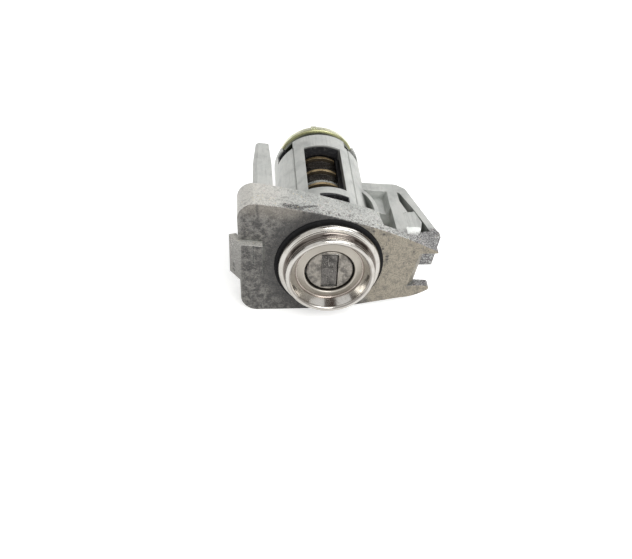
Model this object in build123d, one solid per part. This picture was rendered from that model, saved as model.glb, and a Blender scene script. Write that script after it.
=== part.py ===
"""Door lock cylinder for a vehicle: zinc carrier, sleeve, wafer plug, bezel and drive tail.

Millimetres. The lock axis is Y, the flange face lies at Y = 0 and faces -Y, and Z is up.
"""
from build123d import *

import os
from math import cos, pi, radians, sin, sqrt

# A length beyond every edge of the lock, for cuts that go right through
FAR = 60.0

# Flange tray: outline seen from the front, in X and Z
FLANGE_LEFT_TOP = -22.1
FLANGE_LEFT_FOOT = -21.55
FLANGE_BOTTOM = -14.2
FLANGE_THICKNESS = 2.6
SKIRT_DEPTH = 9.5
SKIRT_REAR_LINE = ((-22.1, 9.5), (0.0, 8.15), (13.5, 8.05))
SKIRT_WALL = 2.3
SKIRT_END_LINE = ((13.2, 2.0), (12.05, 8.5))
TOP_LEFT_ROUND = 4.4
BOTTOM_LEFT_ROUND = 4.2
TOP_EDGE_START = (-18.2, 17.75)
TOP_EDGE_MIDDLE = (2.0, 13.55)
TOP_EDGE_END = (21.4, 6.05)
NOSE_TIP = (26.5, 3.4)
NOSE_END = (26.9, 2.95)
NOSE_UNDER = (26.4, 2.5)
NOTCH_TOP = (23.6, 2.7)
NOTCH_FOOT = (21.7, -7.15)
NOTCH_BEVEL_FRONT = ((22.4, 2.8), (19.9, -7.2))
NOTCH_BEVEL_BACK = ((24.1, 2.8), (22.2, -7.2))
TONGUE_TOP = (25.0, -7.4)
TONGUE_TIP = (25.6, -8.1)
TONGUE_UNDER = (25.0, -8.9)
LOWER_EDGE_BEND = (18.6, -11.1)
LOWER_EDGE_START = (2.0, FLANGE_BOTTOM)

# Rest of the casting gate behind the nose, seen from above in X and Y
GATE_STUB = ((22.1, 2.0), (22.1, 3.1), (23.2, 5.9), (25.0, 5.9), (26.7, 3.0), (26.7, 2.0))
GATE_STUB_BOTTOM = 2.9

# Barrel, its bore and its openings
BARREL_RADIUS = 11.8
BARREL_BORE = 8.75
BARREL_REAR = 39.4
SADDLE_REAR = 42.6
SADDLE_HALF_WIDTH = 7.0
LUG_REAR = 44.9
LUG_WEDGE = ((FAR, 4.4), (11.0, 4.4), (8.2, 1.6), (8.2, -1.6), (11.0, -4.4), (FAR, -4.4))
LUG_HOOK_FRONT = 43.4
LUG_HOOK = ((FAR, 6.2), (9.6, 6.2), (8.2, 5.0), (8.2, -5.0), (9.6, -6.2), (FAR, -6.2))
WINDOW_LEFT = -4.3
WINDOW_RIGHT = 5.4
WINDOW_FRONT = 16.5
WINDOW_BACK = 37.1
LOWER_WINDOW_HALF_WIDTH = 4.8
SLIT_OUTLINE = ((-1.2, 8.2), (-1.2, 12.6), (2.6, 13.2), (5.4, 13.35), (5.4, 8.1))
RAIL_LINES = (-7.1, 7.8)
RAIL_LINE_FRONT = 12.7
RAIL_LINE_WIDTH = 0.4
RAIL_LINE_DEPTH = 0.25
COLLAR_RADIUS = 10.0
COLLAR_INNER = 8.95
COLLAR_HEIGHT = 2.2
HEAD_BORE = 8.4
HEAD_BORE_END = 2.4
THROAT_RADIUS = 7.08
THROAT_END = 3.6

# Rear studs of the casting that hold the cap
STUD_X = 9.1
STUD_RADIUS = 0.7
STUD_HEAD_RADIUS = 1.2
STUD_HEAD_HEIGHT = 0.5

# Post behind the top left corner
POST_BASE_Y = 6.0
POST_MIDDLE_Y = 20.0
POST_TIP_Y = 30.0

# Hook on the left edge
HOOK_TOP = 7.8
HOOK_BOTTOM = -4.2
HOOK_PROUD = 2.18
HOOK_TOP_LINE = ((-25.0, 7.0), (-21.3, 7.72), (-15.5, 7.0))
HOOK_PAD_RIGHT = -16.2
HOOK_CREASE_X = -21.3
HOOK_GROOVE_X = (-18.5, -18.2)
HOOK_GROOVE_FOOT = 1.3
HOOK_GROOVE_DEPTH = 0.15
WING_TIP_X = -24.17
WING_BACK_Y = 3.1

# Ribbed bracket on the right, seen from above in X and Y
BRACKET_TOP = 3.7
BRACKET_BOTTOM = -4.9
BRACKET_FLOOR = -2.4
BRACKET_FRONT = 5.6
BRACKET_REAR_LEFT = (9.6, 31.1)
BRACKET_REAR_RIGHT = (20.2, 29.9)
BRACKET_CORNER = (22.5, 27.7)
BRACKET_RIGHT_FRONT = (28.15, 7.2)
BRACKET_RIGHT = 28.3
BRACKET_LEAN = 1.4
REAR_BAR_INNER_Y = 26.6
BRACKET_ROUND = 1.6
BOSS_TOP = 3.4
RAMP_PROFILE = ((10.6, BOSS_TOP), (11.0, BOSS_TOP), (11.0, BRACKET_BOTTOM), (5.7, BRACKET_BOTTOM), (5.7, -1.5))
RAMP_PLAN = ((20.0, 10.9), (24.25, 10.5), (22.5, 5.7), (20.0, 5.7))
SHELF_TOP = 1.3
MID_BAR_LEFT = 17.4
MID_BAR_RIGHT = 20.2
RIB_TOP = 6.0
RIB_WALL = 0.95
RIB_FOOT_BACK = 8.5
RIB_PATH = ((9.3, 24.6), (11.75, 20.95), (12.7, 17.9), (13.05, 14.6), (13.1, 8.0))

# Bezel, seal and plug head
BEZEL_BASE_RADIUS = 12.5
BEZEL_GROOVE_RADIUS = 12.2
BEZEL_GROOVE_END = -0.55
BEZEL_BASE_END = -1.4
BEZEL_SKIRT_INNER = 11.6
BEZEL_PLAY = 0.03
BEZEL_LIP_RADIUS = 10.8
BEZEL_LIP_Y = -5.3
BEZEL_HOLE = 6.1
SEAL_RADIUS = 13.35
SEAL_HEIGHT = 0.45
SEAL_PLAY = 0.02
PLUG_FACE_RADIUS = 5.7
PLUG_FACE_Y = -2.65
PLUG_FACE_SHEET = 0.5
PLUG_NOSE_RADIUS = PLUG_FACE_RADIUS - PLUG_FACE_SHEET
PLUG_NOSE_Y = PLUG_FACE_Y + PLUG_FACE_SHEET
PLUG_FLANGE_RADIUS = 8.3
PLUG_FLANGE_FRONT = 0.8
PLUG_FLANGE_BACK = 2.3
PLUG_RADIUS = 7.0
PLUG_REAR = 42.0
KEY_SLOT_HALF_WIDTH = 2.05
KEY_SLOT_HALF_HEIGHT = 4.95
KEYWAY_HALF_WIDTH = 1.6
KEYWAY_HALF_HEIGHT = 4.3
KEYWAY_STEP_Y = 9.2
KEYWAY_END = 39.6

# Dust shutter, whose front skin hides the spring beside its knuckle
SHUTTER_AXIS_Y = -1.6
SHUTTER_AXIS_Z = 4.15
SHUTTER_PIN_RADIUS = 0.24
SHUTTER_KNUCKLE = 0.5
SHUTTER_LEFT = -2.0
SHUTTER_RIGHT = 1.8
SHUTTER_TOP = 4.35
SHUTTER_BOTTOM = -4.55
SHUTTER_FRONT_Y = -2.3
SHUTTER_SKIN_Y = -2.1
SHUTTER_BACK_Y = -1.36
SHUTTER_KNUCKLE_RIGHT = 0.6
SHUTTER_POCKET_FOOT = 3.3
SHUTTER_WIRE = 0.1
SHUTTER_COIL_PITCH = 0.23
SHUTTER_COIL_TURNS = 3

# Sleeve and clip
SLEEVE_OUTER = 8.65
SLEEVE_INNER = 7.06
SLEEVE_FRONT = 3.7
SLEEVE_BACK = 40.2
SLEEVE_WINDOW_HALF_WIDTH = 4.35
SLEEVE_WINDOW_FRONT = 12.6
SLEEVE_WINDOW_BACK = 38.3
CLIP_GROOVE_FRONT = 40.3
CLIP_GROOVE_BACK = 41.1
CLIP_GROOVE_RADIUS = 6.2
CLIP_OUTER = 8.3
CLIP_OPEN_HALF_ANGLE = 35

# Wafers: every second one is sprung up, the others down
WAFER_COUNT = 8
WAFER_REAR_Y = 37.35
WAFER_PITCH = 3.2
WAFER_THICKNESS = 0.9
WAFER_SLOT = 1.0
WAFER_RADIUS = 6.95
WAFER_HALF_WIDTH = 4.1
WAFER_SLOT_HALF_WIDTH = 4.15
WAFER_LIFT = 0.85
WAFER_HOLE_HALF_WIDTH = 1.65
WAFER_HOLE_HEIGHT = 7.4
WAFER_BITTINGS = (0.6, -0.3, 0.3, -0.6, 0.0, 0.6, -0.3, 0.3)
WAFER_NOTCH_RIGHT = -2.55
WAFER_NOTCH_LOW = -4.1
WAFER_NOTCH_HIGH = 0.4
SPRING_X = -3.35
SPRING_POCKET_RADIUS = 0.62
SPRING_POCKET_FLOOR = -3.15
SPRING_COIL_RADIUS = 0.42
SPRING_WIRE_RADIUS = 0.12
SPRING_TURNS = 3

LEG_SWELL = 1.03

# Tail, rear cap and return spring
TAIL_HUB_RADIUS = 6.3
TAIL_HUB_FRONT = 42.3
TAIL_HUB_BACK = 44.5
TAIL_SHAFT_RADIUS = 3.4
TAIL_SHAFT_BACK = 51.5
TANG_HALF_THICKNESS = 1.0
TANG_HALF_HEIGHT = 4.0
TANG_BACK = 43.5
TAIL_SLOT_BACK = 43.7
TAIL_SLOT_PLAY = 0.05
BLADE_HALF_WIDTH = 3.3
BLADE_HALF_THICKNESS = 1.1
BLADE_BACK = 58.0
CAP_SKIRT_RADIUS = 10.4
CAP_BEAD_RADIUS = 10.8
CAP_BEAD_FRONT = 46.9
CAP_RIM_WALL = 1.0
CAP_FRONT = 44.9
CAP_BACK = 48.9
CAP_SHEET = 1.0
CAP_HUB_RADIUS = 5.2
CAP_NUB_X = (-1.7, -0.1)
CAP_HUB_FRONT = 44.7
CAP_HOLE = 3.46
TAIL_CLIP_GROOVE_RADIUS = 2.8
TAIL_CLIP_FRONT = 49.0
TAIL_CLIP_BACK = 49.7
TAIL_CLIP_MOUTH = 2.2
TAIL_CLIP_OUTER = 5.0
RETURN_COIL_RADIUS = 7.45
RETURN_WIRE_RADIUS = 0.4
RETURN_PITCH = 0.95
RETURN_TURNS = 1.348
RETURN_INNER_LEG = 1.6
RETURN_OUTER_LEG = 4.0
RETURN_COIL_FRONT = 43.1


def section_at(y):
    """The XZ plane at a given Y, with X to the right and Z up, seen from the front."""
    return Plane(origin=(0, y, 0), x_dir=(1, 0, 0), z_dir=(0, -1, 0))


def slab(sketch, y_front, y_back):
    """A solid with an XZ outline, from y_front back to y_back."""
    return extrude(section_at(y_back) * sketch, amount=y_back - y_front)


def rod(radius, y_front, y_back, x=0.0, z=0.0):
    """A round bar along Y."""
    return slab(Pos(x, z) * Circle(radius), y_front, y_back)


def block(x_range, y_range, z_range):
    """A box given by its limits on each axis."""
    (x0, x1), (y0, y1), (z0, z1) = x_range, y_range, z_range
    centre = Pos((x0 + x1) / 2, (y0 + y1) / 2, (z0 + z1) / 2)
    return centre * Box(x1 - x0, y1 - y0, z1 - z0)


def turned(edges):
    """A solid of revolution about Y from a closed outline in radius and Y."""
    return revolve(make_face(edges), Axis.Y)


def plan_solid(points, z_low, z_high):
    """A solid with a straight-sided XY outline."""
    outline = make_face(Polyline(*points, close=True))
    return extrude(Plane.XY.offset(z_low) * outline, amount=z_high - z_low)


def flange_outline():
    """Outline of the flange face: rounded left corners, arched top edge, nose, notch and tongue."""
    left, foot, bottom = FLANGE_LEFT_TOP, FLANGE_LEFT_FOOT, FLANGE_BOTTOM
    corner_low = bottom + BOTTOM_LEFT_ROUND
    corner_right = foot + BOTTOM_LEFT_ROUND
    sink = (1 - cos(radians(45)))
    top_x, top_z = TOP_EDGE_START
    edges = [
        Line((foot, corner_low), (left, top_z - TOP_LEFT_ROUND)),
        ThreePointArc(
            (left, top_z - TOP_LEFT_ROUND),
            (left + sink * (top_x - left), top_z - sink * TOP_LEFT_ROUND),
            TOP_EDGE_START,
        ),
        ThreePointArc(TOP_EDGE_START, TOP_EDGE_MIDDLE, TOP_EDGE_END),
        Line(TOP_EDGE_END, NOSE_TIP),
        ThreePointArc(NOSE_TIP, NOSE_END, NOSE_UNDER),
        Line(NOSE_UNDER, NOTCH_TOP),
        Line(NOTCH_TOP, NOTCH_FOOT),
        Line(NOTCH_FOOT, TONGUE_TOP),
        ThreePointArc(TONGUE_TOP, TONGUE_TIP, TONGUE_UNDER),
        ThreePointArc(TONGUE_UNDER, (22.2, -10.35), LOWER_EDGE_BEND),
        Line(LOWER_EDGE_BEND, LOWER_EDGE_START),
        Line(LOWER_EDGE_START, (corner_right, bottom)),
        ThreePointArc(
            (corner_right, bottom),
            (foot + sink * BOTTOM_LEFT_ROUND, bottom + sink * BOTTOM_LEFT_ROUND),
            (foot, corner_low),
        ),
    ]
    return make_face(edges)


def flange_tray():
    """Face plate with a skirt wall along its top and left, open at the bottom and right."""
    face = flange_outline()
    plate = slab(face, 0, FLANGE_THICKNESS)
    front_edges = plate.edges().filter_by(lambda e: abs(e.center().Y) < 0.01)
    plate = fillet(front_edges, 0.35)
    walls = slab(face, FLANGE_THICKNESS - 0.5, SKIRT_DEPTH)
    walls -= slab(offset(face, -SKIRT_WALL), 0, FAR)
    (_, end_front), (end_rear, _) = SKIRT_END_LINE
    walls -= plan_solid([*SKIRT_END_LINE, (end_rear, FAR), (FAR, FAR), (FAR, end_front)], -FAR, FAR)
    walls -= block((FLANGE_LEFT_FOOT + SKIRT_WALL, FAR), (0, FAR), (-FAR, 0))
    walls -= block((-FAR, FAR), (0, FAR), (-FAR, FLANGE_BOTTOM + BOTTOM_LEFT_ROUND))
    walls -= plan_solid([*SKIRT_REAR_LINE, (FAR, FAR), (-FAR, FAR)], -FAR, FAR)
    bevel = [
        section_at(y) * make_face(Polyline(top, (FAR, top[1]), (FAR, foot[1]), foot, close=True))
        for y, (top, foot) in ((0, NOTCH_BEVEL_FRONT), (FLANGE_THICKNESS, NOTCH_BEVEL_BACK))
    ]
    return plate + walls - loft(bevel, ruled=True)


def gate_stub():
    """Broken end of the casting gate: a low lump behind the nose, flush with the edge."""
    return plan_solid(GATE_STUB, GATE_STUB_BOTTOM, FAR) & slab(flange_outline(), FLANGE_THICKNESS - 0.6, 6)


def hook():
    """Wedge pad on the left edge with a wing that turns back past the skirt."""
    front_low = -0.25
    top = [
        (HOOK_PAD_RIGHT, -HOOK_PROUD), (HOOK_CREASE_X, -HOOK_PROUD), (WING_TIP_X, 2.6),
        (WING_TIP_X, WING_BACK_Y), (-22.4, WING_BACK_Y), (-21.4, 0.6), (HOOK_PAD_RIGHT, 0.6),
    ]
    low = [
        (HOOK_PAD_RIGHT, front_low), (-21.6, front_low), (WING_TIP_X, 2.6),
        (WING_TIP_X, WING_BACK_Y), (-22.4, WING_BACK_Y), (-21.4, 0.6), (HOOK_PAD_RIGHT, 0.6),
    ]
    sections = [
        Plane.XY.offset(HOOK_TOP) * make_face(Polyline(*top, close=True)),
        Plane.XY.offset(HOOK_BOTTOM) * make_face(Polyline(*low, close=True)),
    ]
    body = loft(sections, ruled=True)
    slope = make_face(Polyline((-25, HOOK_BOTTOM + 0.9), (-21.8, HOOK_BOTTOM), (-21.8, -9), (-25, -9), close=True))
    above = make_face(Polyline(*HOOK_TOP_LINE, (-15.5, 9), (-25, 9), close=True))
    body -= slab(slope, -5, 5) + slab(above, -5, 5)
    groove = block(HOOK_GROOVE_X, (-FAR, FAR), (HOOK_GROOVE_FOOT, FAR))
    return body - (groove - Pos(0, HOOK_GROOVE_DEPTH, 0) * body)


def post():
    """Tapered post that runs back from the top left of the skirt, with one edge broken."""
    base = [(-18.35, 13.4), (-13.45, 13.4), (-13.45, 17.0), (-17.2, 17.6), (-18.35, 16.7)]
    middle = [(-18.1, 13.6), (-13.5, 13.6), (-13.5, 16.8), (-17.0, 17.3), (-18.1, 16.5)]
    tip = [(-17.25, 13.9), (-13.95, 13.9), (-13.95, 16.5), (-16.6, 16.85), (-17.25, 16.3)]
    sections = [
        section_at(y) * make_face(Polyline(*outline, close=True))
        for y, outline in ((POST_BASE_Y, base), (POST_MIDDLE_Y, middle), (POST_TIP_Y, tip))
    ]
    body = loft(sections, ruled=True)
    end_edges = body.edges().filter_by(lambda e: e.center().Y > POST_TIP_Y - 0.01)
    return fillet(end_edges, 0.45)


def side_lug():
    """Right lug behind the barrel: wedge wall, hooked end and the stud that holds the cap."""
    round_limit = rod(BARREL_RADIUS, BARREL_REAR - 1, LUG_REAR)
    wall = slab(make_face(Polyline(*LUG_WEDGE, close=True)), BARREL_REAR - 1, LUG_REAR)
    end = slab(make_face(Polyline(*LUG_HOOK, close=True)), LUG_HOOK_FRONT, LUG_REAR)
    stud = rod(STUD_RADIUS, LUG_REAR - 1, CAP_BACK + STUD_HEAD_HEIGHT, x=STUD_X)
    head = rod(STUD_HEAD_RADIUS, CAP_BACK, CAP_BACK + STUD_HEAD_HEIGHT, x=STUD_X)
    return (wall + end & round_limit) + stud + head


def barrel():
    """Barrel with front collar, side walls, saddles, lugs, windows and rail lines, still unbored."""
    body = rod(BARREL_RADIUS, 0, BARREL_REAR)
    rear = rod(BARREL_RADIUS, BARREL_REAR - 1, SADDLE_REAR)
    body += rear & block((-SADDLE_HALF_WIDTH, SADDLE_HALF_WIDTH), (0, FAR), (-FAR, FAR))
    lug = side_lug()
    body += lug + mirror(lug, Plane.YZ)
    body += rod(COLLAR_RADIUS, -COLLAR_HEIGHT, 0.5)
    body -= block((WINDOW_LEFT, WINDOW_RIGHT), (WINDOW_FRONT, WINDOW_BACK), (5, FAR))
    lower = (-LOWER_WINDOW_HALF_WIDTH, LOWER_WINDOW_HALF_WIDTH)
    body -= block(lower, (WINDOW_FRONT, WINDOW_BACK), (-FAR, -5))
    body -= plan_solid(SLIT_OUTLINE, 5, BARREL_RADIUS + 0.5)
    for x in RAIL_LINES:
        surface = sqrt(BARREL_RADIUS ** 2 - x ** 2)
        line = (x - RAIL_LINE_WIDTH / 2, x + RAIL_LINE_WIDTH / 2)
        body -= block(line, (RAIL_LINE_FRONT, BARREL_REAR), (surface - RAIL_LINE_DEPTH, FAR))
    return body


def bracket():
    """Bracket slab with a floor, bars, shelf, boss and pockets open to the top."""
    left = BRACKET_REAR_LEFT[0]
    floor_outline = [
        (13.1, BRACKET_FRONT), (BRACKET_RIGHT, BRACKET_FRONT), BRACKET_RIGHT_FRONT, BRACKET_CORNER,
        BRACKET_REAR_RIGHT, BRACKET_REAR_LEFT, (left, 24.2), *RIB_PATH[1:-1],
    ]
    rear_bar = [BRACKET_REAR_LEFT, (left, 27.7), (MID_BAR_LEFT, REAR_BAR_INNER_Y), (20.0, 26.2),
                (20.7, 25.6), (22.8, 26.6), BRACKET_CORNER, BRACKET_REAR_RIGHT]
    mid_bar = [(MID_BAR_LEFT, 29), (19.95, 29), (20.05, 26.1), (MID_BAR_RIGHT, 21.8), (21.5, 17.05),
               (20.4, 16.5), (MID_BAR_RIGHT, 2.0), (17.9, 2.0), (17.5, 20)]
    outer_bar = [BRACKET_CORNER, (20.6, 26.0), (23.4, 17.7), (25.2, 11.3), (26.0, 8.0), (25.9, BRACKET_FRONT),
                 (BRACKET_RIGHT, BRACKET_FRONT), BRACKET_RIGHT_FRONT]
    front_bar = [(24.2, BRACKET_FRONT), (BRACKET_RIGHT, BRACKET_FRONT), (BRACKET_RIGHT, 8.0), (24.2, 8.0)]
    boss = [(20.0, 17.1), (22.8, 17.2), (23.5, 17.6), (24.65, 12.6), (24.2, 10.4), (20.0, 10.8)]
    shelf = [(left, 28), (left, 24.2), (11.5, 21.4), (MID_BAR_LEFT + 0.2, 18.8), (MID_BAR_LEFT + 0.2, 28)]
    body = plan_solid(floor_outline, BRACKET_BOTTOM, BRACKET_FLOOR)
    for outline, top in (
        (rear_bar, BRACKET_TOP), (mid_bar, BRACKET_TOP), (outer_bar, BRACKET_TOP), (front_bar, BRACKET_TOP),
        (boss, BOSS_TOP), (shelf, SHELF_TOP),
    ):
        body += plan_solid(outline, BRACKET_BOTTOM, top)
    slope = make_face(Polyline((MID_BAR_LEFT - 1, SHELF_TOP), (MID_BAR_LEFT + 0.2, SHELF_TOP - 0.2),
                               (MID_BAR_LEFT + 0.2, BRACKET_TOP), (MID_BAR_LEFT, BRACKET_TOP), close=True))
    body += slab(slope, 19.0, 27.2)
    ramp = Plane.YZ * make_face(Polyline(*RAMP_PROFILE, close=True))
    body += extrude(ramp, amount=FAR) & plan_solid(RAMP_PLAN, BRACKET_BOTTOM, BOSS_TOP)
    corner_edges = body.edges().filter_by(Axis.Z).filter_by(
        lambda e: e.center().X > 20 and e.center().Y > 26.8 and e.length > BRACKET_TOP - BRACKET_BOTTOM - 0.1)
    return fillet(corner_edges, BRACKET_ROUND) & bracket_envelope()


def bracket_envelope():
    """Outer form of the bracket, whose right side leans in towards the bottom."""
    sections = []
    for z, lean in ((BRACKET_BOTTOM, BRACKET_LEAN), (BRACKET_TOP, 0)):
        outline = [
            (5, 0), (BRACKET_RIGHT - lean, 0), (BRACKET_RIGHT - lean, BRACKET_RIGHT_FRONT[1]),
            (BRACKET_CORNER[0] - lean, BRACKET_CORNER[1]), (BRACKET_CORNER[0] - lean, FAR), (5, FAR),
        ]
        sections.append(Plane.XY.offset(z) * make_face(Polyline(*outline, close=True)))
    return loft(sections, ruled=True)


def curved_rib():
    """Curved wall from the barrel's side to the right end of the skirt."""
    path = Spline(*RIB_PATH)
    wall = Pos(0, 0, BRACKET_BOTTOM) * extrude(trace(path, RIB_WALL), amount=RIB_TOP - BRACKET_BOTTOM)
    end_x = RIB_PATH[-1][0]
    foot = (end_x - RIB_WALL / 2, end_x + RIB_WALL / 2)
    return wall + block(foot, (FLANGE_THICKNESS - 0.5, RIB_FOOT_BACK), (BRACKET_BOTTOM, RIB_TOP))


def lock_carrier():
    """The die casting: all of the above in one piece, then bored for the lock."""
    body = flange_tray() + gate_stub() + hook() + post() + barrel() + bracket() + curved_rib()
    body -= rod(COLLAR_INNER, -FAR, -0.6)
    body -= rod(HEAD_BORE, -1, HEAD_BORE_END)
    body -= rod(THROAT_RADIUS, 0, THROAT_END + 0.5)
    body -= rod(BARREL_BORE, THROAT_END, LUG_REAR)
    return body


def bezel_ring():
    """Pressed ring: shoulder, cove, bead, rounded lip, dished face and a turned-in hole edge."""
    base, lip, hole = BEZEL_BASE_RADIUS, BEZEL_LIP_RADIUS, BEZEL_HOLE
    groove, groove_end = BEZEL_GROOVE_RADIUS, BEZEL_GROOVE_END
    inner, bore = BEZEL_SKIRT_INNER, COLLAR_RADIUS + BEZEL_PLAY
    edges = [
        Line((groove, 0), (groove, groove_end)),
        Line((groove, groove_end), (base, groove_end)),
        Line((base, groove_end), (base, BEZEL_BASE_END)),
        ThreePointArc((base, BEZEL_BASE_END), (12.2, -1.98), (11.5, -2.2)),
        ThreePointArc((11.5, -2.2), (10.95, -2.45), (10.7, -3.05)),
        ThreePointArc((10.7, -3.05), (10.95, -3.35), (10.7, -3.65)),
        Line((10.7, -3.65), (lip, -4.3)),
        ThreePointArc((lip, -4.3), (10.2, BEZEL_LIP_Y), (9.5, -4.75)),
        Line((9.5, -4.75), (8.35, -2.75)),
        ThreePointArc((8.35, -2.75), (8.15, -2.55), (7.9, -2.6)),
        Line((7.9, -2.6), (6.5, -3.05)),
        ThreePointArc((6.5, -3.05), (hole + 0.1, -2.95), (hole, -2.6)),
        Line((hole, -2.6), (hole, -1.2)),
        Line((hole, -1.2), (6.6, -1.2)),
        Line((6.6, -1.2), (6.6, -2.4)),
        Line((6.6, -2.4), (8.3, -1.9)),
        Line((8.3, -1.9), (8.75, -2.3)),
        Line((8.75, -2.3), (9.9, -4.3)),
        Line((9.9, -4.3), (bore, -4.2)),
        Line((bore, -4.2), (bore, -1.5)),
        Line((bore, -1.5), (11.4, -1.5)),
        Line((11.4, -1.5), (inner, -1.1)),
        Line((inner, -1.1), (inner, 0)),
        Line((inner, 0), (groove, 0)),
    ]
    return turned(edges)


def bezel_seal():
    """Rubber ring with a rounded outer edge round the foot of the bezel."""
    inner, outer, height = BEZEL_GROOVE_RADIUS + SEAL_PLAY, SEAL_RADIUS, SEAL_HEIGHT
    edges = [
        Line((inner, 0), (outer, 0)),
        ThreePointArc((outer, 0), (outer - 0.1, -0.35), (outer - 0.4, -height)),
        Line((outer - 0.4, -height), (inner, -height)),
        Line((inner, -height), (inner, 0)),
    ]
    return turned(edges)


def plug_face():
    """Pressed cap over the plug's nose, with the key slot."""
    skirt_back = PLUG_FLANGE_FRONT
    cap = rod(PLUG_FACE_RADIUS, PLUG_FACE_Y, skirt_back)
    rim = cap.edges().filter_by(lambda e: abs(e.center().Y - PLUG_FACE_Y) < 0.01)
    cap = fillet(rim, 0.4)
    cap -= rod(PLUG_NOSE_RADIUS, PLUG_NOSE_Y, FAR)
    slot_x = (-KEY_SLOT_HALF_WIDTH, KEY_SLOT_HALF_WIDTH)
    slot_z = (-KEY_SLOT_HALF_HEIGHT, KEY_SLOT_HALF_HEIGHT)
    return cap - block(slot_x, (PLUG_FACE_Y - 1, PLUG_NOSE_Y + 0.1), slot_z)


def wafer_places():
    """Each wafer's number, its Y, and 1 if it is sprung up or -1 if it is sprung down."""
    for number in range(WAFER_COUNT):
        yield number + 1, WAFER_REAR_Y - number * WAFER_PITCH, 1 if number % 2 == 0 else -1


def key_plug():
    """Plug with keyway, wafer slots, spring pockets, clip groove and tang."""
    body = rod(PLUG_NOSE_RADIUS, PLUG_NOSE_Y, PLUG_FLANGE_FRONT + 0.5)
    body += rod(PLUG_FLANGE_RADIUS, PLUG_FLANGE_FRONT, PLUG_FLANGE_BACK)
    body += rod(PLUG_RADIUS, PLUG_FLANGE_FRONT, PLUG_REAR)
    slot_x = (-KEY_SLOT_HALF_WIDTH, KEY_SLOT_HALF_WIDTH)
    slot_z = (-KEY_SLOT_HALF_HEIGHT, KEY_SLOT_HALF_HEIGHT)
    body -= block(slot_x, (-FAR, KEYWAY_STEP_Y), slot_z)
    keyway_x = (-KEYWAY_HALF_WIDTH, KEYWAY_HALF_WIDTH)
    keyway_z = (-KEYWAY_HALF_HEIGHT, KEYWAY_HALF_HEIGHT)
    body -= block(keyway_x, (0, KEYWAY_END), keyway_z)
    for _, y, way in wafer_places():
        slot_y = (y - WAFER_SLOT / 2, y + WAFER_SLOT / 2)
        body -= block((-WAFER_SLOT_HALF_WIDTH, WAFER_SLOT_HALF_WIDTH), slot_y, (-FAR, FAR))
        pocket = sorted((way * SPRING_POCKET_FLOOR, way * 9))
        drill = Plane((SPRING_X, y, pocket[0])) * Circle(SPRING_POCKET_RADIUS)
        body -= extrude(drill, amount=pocket[1] - pocket[0])
    for _, y, way in wafer_places():
        relief_y = (y + WAFER_SLOT / 2 - 0.01, y + WAFER_PITCH - WAFER_SLOT / 2 - 0.6)
        if y + WAFER_PITCH < WAFER_REAR_Y + 0.1:
            relief_z = sorted((way * -6.3, way * -9))
            body -= block((-WAFER_SLOT_HALF_WIDTH, WAFER_SLOT_HALF_WIDTH), relief_y, relief_z)
    groove = rod(FAR / 2, CLIP_GROOVE_FRONT, CLIP_GROOVE_BACK)
    body -= groove - rod(CLIP_GROOVE_RADIUS, 0, FAR)
    tang_x = (-TANG_HALF_THICKNESS, TANG_HALF_THICKNESS)
    body += block(tang_x, (PLUG_REAR - 0.5, TANG_BACK), (-TANG_HALF_HEIGHT, TANG_HALF_HEIGHT))
    pin_hole = Plane((0, SHUTTER_AXIS_Y, SHUTTER_AXIS_Z), z_dir=(1, 0, 0)) * Circle(SHUTTER_PIN_RADIUS)
    return body - extrude(pin_hole, amount=FAR / 2, both=True)


def shutter_bar(radius, x_left, x_right):
    """A round bar along X on the shutter's axis."""
    start = Plane((x_left, SHUTTER_AXIS_Y, SHUTTER_AXIS_Z), z_dir=(1, 0, 0))
    return extrude(start * Circle(radius), amount=x_right - x_left)


def key_shutter():
    """Flap with a knuckle round its pin, and a pocket behind its top right for the spring."""
    flap = block((SHUTTER_LEFT, SHUTTER_RIGHT), (SHUTTER_FRONT_Y, SHUTTER_BACK_Y), (SHUTTER_BOTTOM, SHUTTER_TOP))
    flap += shutter_bar(SHUTTER_KNUCKLE, SHUTTER_LEFT, SHUTTER_KNUCKLE_RIGHT)
    flap -= block((SHUTTER_KNUCKLE_RIGHT, FAR), (SHUTTER_SKIN_Y, FAR), (SHUTTER_POCKET_FOOT, FAR))
    return flap - shutter_bar(SHUTTER_PIN_RADIUS + 0.03, -FAR, SHUTTER_KNUCKLE_RIGHT + 0.1)


def shutter_pin():
    """Pin across the plug's nose, held by the skirt of the face cap."""
    highest = SHUTTER_AXIS_Z + SHUTTER_PIN_RADIUS
    reach = sqrt(PLUG_NOSE_RADIUS ** 2 - highest ** 2) - 0.03
    return shutter_bar(SHUTTER_PIN_RADIUS, -reach, reach)


def coil(radius, wire, pitch, turns):
    """A coil about Z that starts on the X axis at Z = 0."""
    path = Helix(pitch=pitch, height=pitch * turns, radius=radius)
    start = Plane(origin=path @ 0, z_dir=path % 0)
    return sweep(start * Circle(wire), path=path, is_frenet=True)


def wire_leg(start, direction, wire, length):
    """A straight wire with a rounded start, a touch thicker than the coil it joins."""
    radius = LEG_SWELL * wire
    straight = extrude(Plane(start, z_dir=direction) * Circle(radius), amount=length)
    return straight + Pos(*start) * Sphere(radius)


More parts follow.
